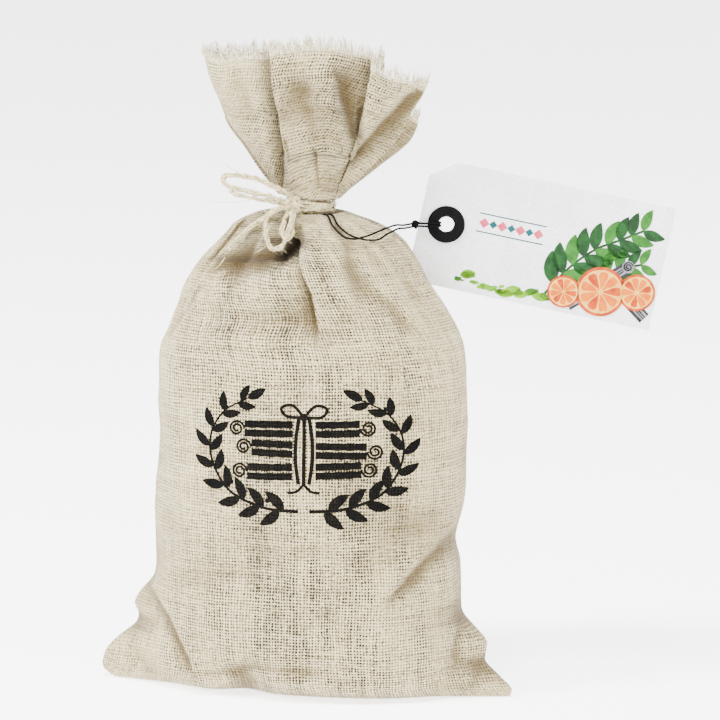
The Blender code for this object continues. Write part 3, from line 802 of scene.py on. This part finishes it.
def make_card(finish):
    length, height, thick = TAG_SIZE
    along, across = TAG_CLIP
    left, right, top = -TAG_HOLE_FROM_END, length - TAG_HOLE_FROM_END, height / 2
    outline = [
        (left + along, -top),
        (right, -top),
        (right, top),
        (left + along, top),
        (left, top - across),
        (left, across - top),
    ]
    mesh = bmesh.new()
    hole = RING_RADII[0] + 0.8
    edges = []
    for ring in (outline, [(hole * math.cos(a * math.pi / 32), hole * math.sin(a * math.pi / 32)) for a in range(64)]):
        corners = [mesh.verts.new((x, y, thick / 2)) for x, y in ring]
        edges += [mesh.edges.new((corners[k], corners[(k + 1) % len(corners)])) for k in range(len(corners))]
    bmesh.ops.triangle_fill(mesh, edges=edges, use_beauty=True)
    grown = bmesh.ops.extrude_face_region(mesh, geom=list(mesh.faces))
    moved = [g for g in grown["geom"] if isinstance(g, bmesh.types.BMVert)]
    bmesh.ops.translate(mesh, vec=(0, 0, -thick), verts=moved)
    bmesh.ops.recalc_face_normals(mesh, faces=mesh.faces)
    bmesh.ops.transform(mesh, matrix=Matrix.Scale(MM, 4) @ tag_frame(), verts=mesh.verts)
    data = bpy.data.meshes.new("paper_tag")
    mesh.to_mesh(data)
    mesh.free()
    card = bpy.data.objects.new("paper_tag", data)
    bpy.context.scene.collection.objects.link(card)
    data.materials.append(finish)
    return card


class Print:
    """Flat closed bands of ink that lie on a surface."""

    def __init__(self, place):
        self.place = place  # from (x, y, height over the surface) to a point in millimetres
        self.points, self.faces, self.flat = [], [], []

    def strip(self, line, widths, high=0.1, low=-0.1):
        """A band along a line, as wide each way as widths says."""
        line = [Vector(p) for p in line]
        cells = max(1, math.ceil(2 * max(widths) / 1.3))
        start, last = len(self.points), len(line) - 1
        for k, (middle, width) in enumerate(zip(line, widths)):
            along = (line[min(k + 1, last)] - line[max(k - 1, 0)]).normalized()
            side = Vector((-along.y, along.x))
            for level in (high, low):
                for c in range(cells + 1):
                    spot = middle + side * width * (1 - 2 * c / cells)
                    self.points.append(self.place(spot.x, spot.y, level))
                    self.flat.append((spot.x, spot.y))
        row, half = 2 * (cells + 1), cells + 1
        for k in range(last):
            base = start + k * row
            for c in range(cells):
                a, b = base + c, base + c + 1
                self.faces.append((a, b, b + row, a + row))
                self.faces.append((a + half, a + half + row, b + half + row, b + half))
            self.faces.append((base, base + row, base + row + half, base + half))
            self.faces.append((base + cells, base + cells + half, base + cells + half + row, base + cells + row))
        for base, turned in ((start, False), (start + last * row, True)):
            for c in range(cells):
                face = (base + c, base + half + c, base + half + c + 1, base + c + 1)
                self.faces.append(face[::-1] if turned else face)

    def leaf(self, foot, angle, length, width, bend=0.3, **levels):
        """A pointed leaf, and where its tip is."""
        steps = max(8, round(length / 0.9))
        line, widths, spot = [Vector(foot)], [0.02], Vector(foot)
        for k in range(1, steps + 1):
            a = angle + bend * (k / steps - 0.5)
            spot = spot + Vector((math.cos(a), math.sin(a))) * length / steps
            line.append(spot)
            widths.append(max(0.02, width * math.sin(math.pi * (k / steps) ** 0.85) ** 0.8))
        self.strip(line, widths, **levels)
        return spot

    def disc(self, middle, radius, **levels):
        steps = max(10, round(radius * 5))
        spots = [-math.cos(math.pi * k / steps) for k in range(steps + 1)]
        line = [(middle[0] + radius * t, middle[1]) for t in spots]
        self.strip(line, [max(0.02, radius * math.sqrt(max(0.0, 1 - t * t))) for t in spots], **levels)

    def hoop(self, middle, radius, width, turns=1.0, start=0.0, inward=0.0, **levels):
        """A ring, or a spiral that winds inward."""
        steps = max(16, round(turns * radius * 8))
        line = []
        for k in range(steps + 1):
            a = start + 2 * math.pi * turns * k / steps
            r = radius - inward * k / steps
            line.append((middle[0] + r * math.cos(a), middle[1] + r * math.sin(a)))
        self.strip(line, [width] * len(line), **levels)

    def line(self, points, width, **levels):
        route = smooth_route([(x, y, 0.0) for x, y in points], 0.8)
        self.strip([(p.x, p.y) for p in route], [width] * len(route), **levels)

    def finish(self, name, material):
        made = mesh_from(name, self.points, self.faces)
        layer = made.data.uv_layers.new(name="weave")
        spots = [self.flat[v] for face in self.faces for v in face]
        layer.data.foreach_set("uv", np.array(spots, dtype=np.float32).ravel() * 0.01)
        made.data.materials.append(material)
        return made


def make_cloth_print(cloth, material):
    """A wreath of two leafy branches round a bundle of sticks, in black."""
    skin = BVHTree.FromPolygons([v.co / MM for v in cloth.data.vertices], [p.vertices[:] for p in cloth.data.polygons])

    def on_cloth(x, y, height):
        spot, normal, _, _ = skin.ray_cast(Vector((x + PRINT_MIDDLE[0], -90.0, y + PRINT_MIDDLE[1])), Vector((0, 1, 0)))
        return spot + normal * height

    made = Print(on_cloth)
    rng = random.Random(8)
    for side in (1, -1):
        route = smooth_route([(side * x, y, 0.0) for x, y in BRANCH], 0.5)
        count = len(route) - 1
        made.strip([(p.x, p.y) for p in route], [0.62 - 0.35 * k / count for k in range(count + 1)])
        for j in range(LEAF_PAIRS):
            k = int(count * (j + 0.8) / (LEAF_PAIRS + 0.3))
            along = route[min(k + 1, count)] - route[k - 1]
            heading = math.atan2(along.y, along.x)
            size = 1.0 - 0.3 * j / LEAF_PAIRS
            for way in (1, -1):
                foot = route[min(k + (3 if way > 0 else 0), count)]
                angle = heading + way * (0.72 + rng.uniform(-0.08, 0.08))
                made.leaf((foot.x, foot.y), angle, 9.6 * size, 2.0 * size, -0.5 * way)
            if j % 2:
                berry = route[k] + Vector((side * -1.6, 2.6, 0))
                made.disc((berry.x, berry.y), 0.9)
        tip = route[-1]
        along = route[-1] - route[-3]
        made.leaf((tip.x, tip.y), math.atan2(along.y, along.x), 8.0, 1.7, 0.2)
    for height, tilt, left, right in STICKS:
        for upper in (1, -1):
            for near, far in ((left, -4.2), (4.2, right)):
                line = [(near + (far - near) * k / 14, 0.0) for k in range(15)]
                line = [(x, height + x * tilt + upper * 1.65) for x, _ in line]
                made.strip(line, [1.35 - 0.12 * math.sin(k * 1.7 + upper) for k in range(15)])
        for end, way in ((left - 3.0, 1), (right + 3.0, -1)):
            start = 0.0 if way > 0 else math.pi
            made.hoop((end, height + end * tilt), 2.9, 0.4, 1.9, start, 2.2)
    for x in (-2.4, 0.0, 2.4):
        made.line([(x * 0.8, -12.0), (x * 1.25, -4.0), (x * 1.25, 4.0), (x * 0.8, 12.0)], 0.7)
    for way in (1, -1):
        made.line([(0.0, 12.4), (way * 4.2, 16.6), (way * 8.4, 15.6), (way * 6.4, 12.6), (0.0, 12.4)], 0.55)
        made.line([(0.0, -12.0), (way * 2.6, -14.6), (way * 5.8, -15.2)], 0.5)
    made.disc((0.0, 12.4), 1.5)
    return made.finish("cloth_print", material)


def make_tag_print():
    """Leaves, citrus slices and sticks at the tag's far end, small dabs, and a row of diamonds."""
    frame_of_tag = tag_frame()
    top = TAG_SIZE[2] / 2

    def on_tag(x, y, height):
        return frame_of_tag @ Vector((x, y, top + height))

    inks = {name: Print(on_tag) for name in TAG_INKS}
    rng = random.Random(21)

    def over(level):
        return {"high": 0.05 + 0.04 * level, "low": -0.05}

    # a long spray of broad leaves, from the bottom up to the far corner
    for route, pairs, length, names in SPRAYS:
        stem = smooth_route([(x, y, 0.0) for x, y in route], 0.6)
        inks["leaf"].strip([(p.x, p.y) for p in stem], [0.45] * len(stem), **over(1))
        for j in range(pairs):
            k = int((len(stem) - 2) * (j + 1) / pairs)
            along = stem[k] - stem[k - 1]
            heading = math.atan2(along.y, along.x)
            size = 1.0 - 0.34 * j / pairs
            for way in (1, -1):
                angle = heading + way * rng.uniform(0.75, 0.95)
                name = names[(j + way) % 3 == 0]
                inks[name].leaf(stem[k].xy, angle, length * size, 0.225 * length * size, -0.5 * way, **over(2))
    # two rolled sticks across it
    for (x0, y0), (x1, y1) in TAG_STICKS:
        line = [(x0 + (x1 - x0) * k / 20, y0 + (y1 - y0) * k / 20) for k in range(21)]
        inks["stick"].strip(line, [2.3] * 21, **over(3))
        heading = math.atan2(y1 - y0, x1 - x0)
        for aside, width in ((0.9, 0.25), (-1.1, 0.35), (0.0, 0.12)):
            moved = [(x - math.sin(heading) * aside, y + math.cos(heading) * aside) for x, y in line]
            inks["stick_light"].strip(moved, [width] * 21, **over(4))
        inks["stick_light"].disc((x1, y1), 2.3, **over(4))
        inks["stick"].hoop((x1, y1), 1.9, 0.3, 1.8, 0.4, 1.5, **over(5))
    # citrus slices
    for x, y, radius, turn in SLICES:
        inks["orange"].disc((x, y), radius, **over(6))
        inks["pith"].disc((x, y), radius * 0.88, **over(7))
        for k in range(9):
            angle = turn + 2 * math.pi * k / 9
            foot = (x + 0.08 * radius * math.cos(angle), y + 0.08 * radius * math.sin(angle))
            name = "amber" if k % 3 else "orange"
            steps = [k2 / 8 for k2 in range(9)]
            line = [(foot[0] + math.cos(angle) * radius * 0.72 * t, foot[1] + math.sin(angle) * radius * 0.72 * t) for t in steps]
            inks[name].strip(line, [max(0.03, radius * 0.25 * t ** 0.9 * (1 - 0.55 * t ** 7)) for t in steps], **over(8))
    # dabs and drops of green along the bottom
    for _ in range(46):
        x = rng.uniform(6.0, 50.0)
        y = -19.6 + 1.7 * math.sin(x * 0.21) + rng.gauss(0, 1.1)
        size = abs(rng.gauss(0.0, 0.75)) + 0.18
        name = "dab" if rng.random() < 0.7 else "dab_dark"
        y = max(y, -20.6)
        turn = rng.uniform(-0.5, 0.5)
        turn = abs(turn) if y < -18.5 else turn
        inks[name].leaf((x, y), turn, min(size * 4.2, 7.0), min(size, 1.5), rng.uniform(-0.6, 0.6), **over(1))
    # a row of diamonds between thin rules
    for k in range(7):
        x = ROW_START[0] + k * 3.4
        name = "teal" if k % 2 else "rose"
        size = 1.5 if k % 2 else 1.9
        inks[name].strip([(x - size, ROW_START[1]), (x, ROW_START[1]), (x + size, ROW_START[1])], [0.02, size, 0.02], **over(1))
    for aside in (3.4, -3.4):
        line = [(ROW_START[0] - 2.4 + 25.2 * k / 12, ROW_START[1] + aside) for k in range(13)]
        inks["teal"].strip(line, [0.22] * 13, **over(1))
    return [made.finish("tag_print_" + name, ink("ink_" + name, *TAG_INKS[name])) for name, made in inks.items()]


def make_cord(finish):
    place = hole_frame()

    def at_hole(points, side):
        return [place @ Vector((x, y + side * HITCH_RISE, z)) for x, y, z in points]

    route = [Vector(p) for p in CORD_OUT] + at_hole(HITCH, 1)
    route += at_hole(BIGHT, 0) + at_hole(reversed(HITCH), -1)
    route += [Vector(p) for p in reversed(CORD_BACK)]
    route = smooth_route(route, 0.5)
    points, faces = [], []
    sweep(points, faces, route, CORD_RADIUS, 10)
    cord = mesh_from("black_cord", points, faces)
    cord.data.shade_smooth()
    cord.data.materials.append(finish)
    length = sum((b - a).length for a, b in zip(route, route[1:]))
    print("cord length", round(length, 1))
    return cord, [tuple(p * MM) for p in route], length


# ---------------------------------------------------------------- materials


class Nodes:
    """A short way to write a material's nodes: each method adds one and returns its output."""

    def __init__(self, name, roughness=0.9):
        self.material = bpy.data.materials.new(name)
        self.material.use_nodes = True
        self.tree = self.material.node_tree
        self.shader = self.tree.nodes["Principled BSDF"]
        self.shader.inputs["Roughness"].default_value = roughness
        self.shader.inputs["Specular IOR Level"].default_value = 0.2

    def add(self, kind, inputs=(), **settings):
        node = self.tree.nodes.new(kind)
        for key, value in settings.items():
            setattr(node, key, value)
        for key, value in dict(inputs).items():
            if isinstance(value, bpy.types.NodeSocket):
                self.tree.links.new(value, node.inputs[key])
            else:
                node.inputs[key].default_value = value
        return node

    def math(self, operation, a, b=0.0, c=0.0):
        return self.add("ShaderNodeMath", {0: a, 1: b, 2: c}, operation=operation).outputs[0]

    def ramp(self, value, low, high, to_low=0.0, to_high=1.0):
        node = self.add("ShaderNodeMapRange", {0: value, 1: low, 2: high, 3: to_low, 4: to_high})
        node.interpolation_type = "SMOOTHSTEP"
        return node.outputs[0]

    def join(self, x, y, z=0.0):
        return self.add("ShaderNodeCombineXYZ", {0: x, 1: y, 2: z}).outputs[0]

    def noise(self, vector, scale, detail=2.0, dimensions="3D", roughness=0.5):
        inputs = {"Vector": vector, "Scale": scale, "Detail": detail, "Roughness": roughness}
        return self.add("ShaderNodeTexNoise", inputs, noise_dimensions=dimensions).outputs["Fac"]

    def mix(self, share, a, b):
        node = self.add("ShaderNodeMix", data_type="RGBA")
        for index, value in ((0, share), (6, a), (7, b)):
            if isinstance(value, bpy.types.NodeSocket):
                self.tree.links.new(value, node.inputs[index])
            elif index:
                node.inputs[index].default_value = (*value, 1.0)
            else:
                node.inputs[index].default_value = value
        return node.outputs[2]

    def position(self):
        """Where the surface is, in millimetres."""
        place = self.add("ShaderNodeTexCoord").outputs["Object"]
        return self.add("ShaderNodeVectorMath", {0: place, 3: 1000.0}, operation="SCALE").outputs[0]

    def bump(self, height, distance, strength=1.0):
        inputs = {"Height": height, "Distance": distance * MM, "Strength": strength}
        node = self.add("ShaderNodeBump", inputs)
        self.tree.links.new(node.outputs[0], self.shader.inputs["Normal"])

    def colour(self, socket):
        self.tree.links.new(socket, self.shader.inputs["Base Color"])

    def rough(self, socket):
        self.tree.links.new(socket, self.shader.inputs["Roughness"])


THREAD_STEP = 1.12  # threads of the linen, from middle to middle
RUFFLE_AT = 215.0  # where the ruffle starts, in cloth lengths up from the base


def linen(name, thread_dark, thread_light, hole, hole_share=1.0, sheen=0.12, painted_shade_weight=0.0):
    """Plain weave: uneven threads over and under each other, and gaps that show dark between them."""
    n = Nodes(name, 0.95)
    split = n.add("ShaderNodeSeparateXYZ", {0: n.add("ShaderNodeUVMap", uv_map="weave").outputs[0]})
    u, v = n.math("MULTIPLY", split.outputs[0], 100.0), n.math("MULTIPLY", split.outputs[1], 100.0)
    wander = n.noise(n.join(u, n.math("MULTIPLY", v, 0.5)), 0.05, 1.0, "2D")
    wander_up = n.noise(n.join(v, n.math("MULTIPLY", u, 0.5)), 0.05, 1.0, "2D")
    a = n.math("DIVIDE", n.math("ADD", u, n.math("MULTIPLY", wander, 2.2)), THREAD_STEP)
    b = n.math("DIVIDE", n.math("ADD", v, n.math("MULTIPLY", wander_up, 2.2)), THREAD_STEP * 1.06)

    def threads(across, along, seed):
        """How far this point is from the middle of its thread, how thick the thread is, and its tone."""
        number = n.math("FLOOR", across)
        sway = n.noise(n.join(n.math("MULTIPLY", number, 9.13), n.math("MULTIPLY", along, 0.33)), 1.0, 0.0, "2D")
        off = n.math("SUBTRACT", n.math("FRACT", across), 0.5)
        off = n.math("ABSOLUTE", n.math("ADD", off, n.math("MULTIPLY", n.math("SUBTRACT", sway, 0.5), 0.42)))
        own = n.noise(n.join(n.math("MULTIPLY", number, 7.31), seed), 1.0, 0.0, "2D")
        slub = n.noise(n.join(n.math("MULTIPLY", number, 3.17), n.math("MULTIPLY", along, 0.5)), 1.0, 1.0, "2D")
        thick = n.math("ADD", n.math("MULTIPLY", own, 0.24), n.math("MULTIPLY", slub, 0.42))
        tone = n.noise(n.join(n.math("MULTIPLY", number, 5.77), n.math("MULTIPLY", along, 0.07)), 1.0, 2.0, "2D")
        return off, n.math("SUBTRACT", thick, 0.03), tone

    off_a, thick_a, tone_a = threads(a, b, 1.7)
    off_b, thick_b, tone_b = threads(b, a, 8.3)
    # clusters where the weave stands more open
    open_a = n.noise(n.join(n.math("MULTIPLY", u, 0.11), n.math("MULTIPLY", v, 0.018)), 1.0, 2.0, "2D")
    loose = n.ramp(open_a, 0.36, 0.66, 0.04, -0.075)
    # tighter at the pouch's sides, seen at a slant, and in the ruffle
    from_middle = n.math("PINGPONG", n.math("ADD", u, BACK_OFFSET), BACK_OFFSET / 2)
    from_side = n.math("SUBTRACT", BACK_OFFSET / 2, from_middle)
    loose = n.math("ADD", loose, n.ramp(from_side, 22.0, 62.0, 0.03, -0.06))
    loose = n.math("ADD", loose, n.ramp(v, RUFFLE_AT - 25.0, RUFFLE_AT, 0.0, 0.03))
    gap_a = n.ramp(n.math("SUBTRACT", off_a, n.math("ADD", thick_a, loose)), -0.05, 0.06)
    gap_b = n.ramp(n.math("SUBTRACT", off_b, n.math("ADD", thick_b, loose)), -0.05, 0.06)
    gap = n.math("MULTIPLY", n.math("MULTIPLY", gap_a, gap_b), hole_share)
    over = n.math("MULTIPLY", n.math("SINE", n.math("MULTIPLY", a, math.pi)), n.math("SINE", n.math("MULTIPLY", b, math.pi)))
    over = n.ramp(over, -0.35, 0.35)
    round_a = n.math("SUBTRACT", 1.0, n.math("MULTIPLY", n.math("MULTIPLY", off_a, off_a), 3.4))
    round_b = n.math("SUBTRACT", 1.0, n.math("MULTIPLY", n.math("MULTIPLY", off_b, off_b), 3.4))
    height_a = n.math("MULTIPLY", round_a, n.math("ADD", n.math("MULTIPLY", over, 0.5), 0.5))
    height_b = n.math("MULTIPLY", round_b, n.math("SUBTRACT", 1.0, n.math("MULTIPLY", over, 0.5)))
    height = n.math("MAXIMUM", height_a, height_b)
    tone = n.math("ADD", n.math("MULTIPLY", tone_a, over), n.math("MULTIPLY", tone_b, n.math("SUBTRACT", 1.0, over)))
    hairs = n.noise(n.join(n.math("MULTIPLY", u, 5.0), n.math("MULTIPLY", v, 5.0)), 1.0, 2.0, "2D")
    light = n.math("ADD", n.math("MULTIPLY", n.math("SUBTRACT", tone, 0.5), 1.1), n.math("MULTIPLY", hairs, 0.5))
    # Painted shade on the weave: a thread is lighter along its middle and where it lies on top, and darker at its edges
    # and where it passes under.
    light = n.math("ADD", light, n.math("MULTIPLY", height, 0.75))
    thread = n.mix(n.ramp(light, 0.28, 1.12), thread_dark, thread_light)
    cloth_colour = n.mix(gap, thread, hole)
    # Painted shade: where the cloth lies in a fold, its colour is mixed toward dark brown by the amount in the UV map
    # made for it.
    if painted_shade_weight:
        painted_shade_share = n.add("ShaderNodeSeparateXYZ", {0: n.add("ShaderNodeUVMap", uv_map="painted_shade").outputs[0]}).outputs[0]
        cloth_colour = n.mix(n.math("MULTIPLY", painted_shade_share, painted_shade_weight), cloth_colour, (0.065, 0.038, 0.007))
    n.colour(cloth_colour)
    n.bump(n.math("MULTIPLY", height, n.math("SUBTRACT", 1.0, gap)), 0.35, 0.9)
    n.shader.inputs["Sheen Weight"].default_value = sheen
    n.shader.inputs["Sheen Roughness"].default_value = 0.6
    return n.material


def fibre(name, dark, light):
    """Loose plant fibre, as in the twine and the frayed threads."""
    n = Nodes(name, 0.9)
    place = n.position()
    streaks = n.noise(place, 0.9, 4.0, roughness=0.75)
    fine = n.noise(place, 5.0, 2.0)
    tone = n.math("ADD", n.math("MULTIPLY", streaks, 0.7), n.math("MULTIPLY", fine, 0.4))
    n.colour(n.mix(n.ramp(tone, 0.4, 0.7), dark, light))
    n.bump(fine, 0.15, 0.8)
    n.shader.inputs["Sheen Weight"].default_value = 0.2
    return n.material


def card_paper(name):
    """White card with a fine grain like watercolour paper."""
    n = Nodes(name, 0.85)
    place = n.position()
    grain = n.noise(place, 1.5, 3.0, roughness=0.6)
    cloud = n.noise(place, 0.08, 2.0)
    n.colour(n.mix(n.ramp(n.math("ADD", grain, n.math("MULTIPLY", cloud, 0.4)), 0.5, 0.9), (0.6, 0.6, 0.605), (0.8, 0.8, 0.805)))
    n.bump(grain, 0.12, 0.6)
    return n.material


def ink(name, colour, other=None, rough=0.7):
    """Printing ink, a little uneven over the grain under it."""
    n = Nodes(name, rough)
    place = n.position()
    grain = n.noise(place, 1.5, 3.0, roughness=0.6)
    blend = n.noise(place, 0.35, 2.0)
    n.colour(n.mix(n.ramp(blend, 0.35, 0.65), colour, other or tuple(c * 0.8 for c in colour)))
    n.bump(grain, 0.1, 0.5)
    return n.material


def matt_black(name, rough):
    n = Nodes(name, rough)
    n.shader.inputs["Specular IOR Level"].default_value = 0.06
    place = n.position()
    grain = n.noise(place, 2.2, 3.0)
    n.colour(n.mix(grain, (0.001, 0.001, 0.001), (0.003, 0.003, 0.003)))
    n.bump(grain, 0.08, 0.5)
    return n.material


def plain(name, colour, roughness, glow=0.0):
    made = bpy.data.materials.new(name)
    made.use_nodes = True
    shader = made.node_tree.nodes["Principled BSDF"]
    shader.inputs["Base Color"].default_value = (*colour, 1)
    shader.inputs["Roughness"].default_value = roughness
    shader.inputs["Emission Color"].default_value = (1, 1, 1, 1)
    shader.inputs["Emission Strength"].default_value = glow
    return made


def add_stage():
    sides = 64
    ring = [(math.cos(2 * math.pi * k / sides), math.sin(2 * math.pi * k / sides)) for k in range(sides)]
    spots, shapes = [(x * 4.6, y * 4.6, -0.0005) for x, y in ring], [tuple(range(sides))]
    for radius, height in ((4.85, 0.06), (5.0, 0.3), (5.0, 2.6)):
        start = len(spots) - sides
        spots += [(x * radius, y * radius, height) for x, y in ring]
        for k in range(sides):
            n = (k + 1) % sides
            shapes.append((start + n, start + k, start + sides + k, start + sides + n))
    data = bpy.data.meshes.new("floor")
    data.from_pydata(spots, [], shapes)
    data.shade_smooth()
    floor = bpy.data.objects.new("floor", data)
    bpy.context.scene.collection.objects.link(floor)
    data.materials.append(plain("floor_white", (0.93, 0.93, 0.93), 0.9, 3.0))
    data.materials.append(plain("wall_white", (0.93, 0.93, 0.93), 0.9, 1.0))
    for face in list(data.polygons)[1:]:
        face.material_index = 1
    world = bpy.data.worlds.new("studio")
    world.use_nodes = True
    world.node_tree.nodes["Background"].inputs["Color"].default_value = (1, 1, 1, 1)
    world.node_tree.nodes["Background"].inputs["Strength"].default_value = 0.16
    bpy.context.scene.world = world
    for name, place, size, power in (
        ("key", (-1.3, -0.75, 1.3), 0.45, 92.0),
        ("right", (1.3, -0.9, 0.7), 0.9, 14.0),
        ("top", (0.0, -0.5, 1.75), 0.5, 92.0),
    ):
        light = bpy.data.lights.new(name, "AREA")
        light.size, light.energy = size, power
        lamp = bpy.data.objects.new(name, light)
        lamp.location = place
        aim = Vector((0, 0, 0.12)) - Vector(place)
        lamp.rotation_euler = aim.to_track_quat("-Z", "Y").to_euler()
        bpy.context.scene.collection.objects.link(lamp)


# ---------------------------------------------------------------- everything

add_camera()
black = matt_black("cord_black", 0.7)
cord, cord_path, cord_length = make_cord(black)
cloth_weave = linen("linen_weave", (0.115, 0.081, 0.024), (0.475, 0.402, 0.222), (0.013, 0.009, 0.0025), painted_shade_weight=0.9)
cloth, outer = make_cloth(cloth_weave)
twine = make_twine(fibre("jute_fibre", (0.24, 0.175, 0.06), (0.76, 0.665, 0.4)))
fringe = make_fringe(outer, fibre("frayed_linen", (0.33, 0.27, 0.15), (0.76, 0.69, 0.5)))
card = make_card(card_paper("card_paper"))
cloth_ink = linen("linen_ink", (0.0008, 0.0008, 0.0008), (0.0022, 0.0022, 0.0022), (0.012, 0.01, 0.006), 0.5, 0.0)
cloth_ink.node_tree.nodes["Principled BSDF"].inputs["Specular IOR Level"].default_value = 0.05
cloth_print = make_cloth_print(cloth, cloth_ink)
for piece in (cloth_print, *make_tag_print(), fringe):
    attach(piece, "root")
add_stage()
ring_node, knot_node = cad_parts["tag_ring"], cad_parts["cord_knot"]
for node, finish in ((ring_node, matt_black("ring_black", 0.75)), (knot_node, black)):
    for slot in node.material_slots:
        slot.material = finish

for piece, node, slot in (
    (cloth, "pouch", "linen"),
    (twine, "twine_tie", "jute"),
    (card, "tag_card", "paper"),
):
    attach(piece, "root")
    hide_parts(node)
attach(cord, "root")
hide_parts("cord_strand_left", "cord_strand_right", "cord_hitch_upper", "cord_hitch_lower")
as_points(cord_path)
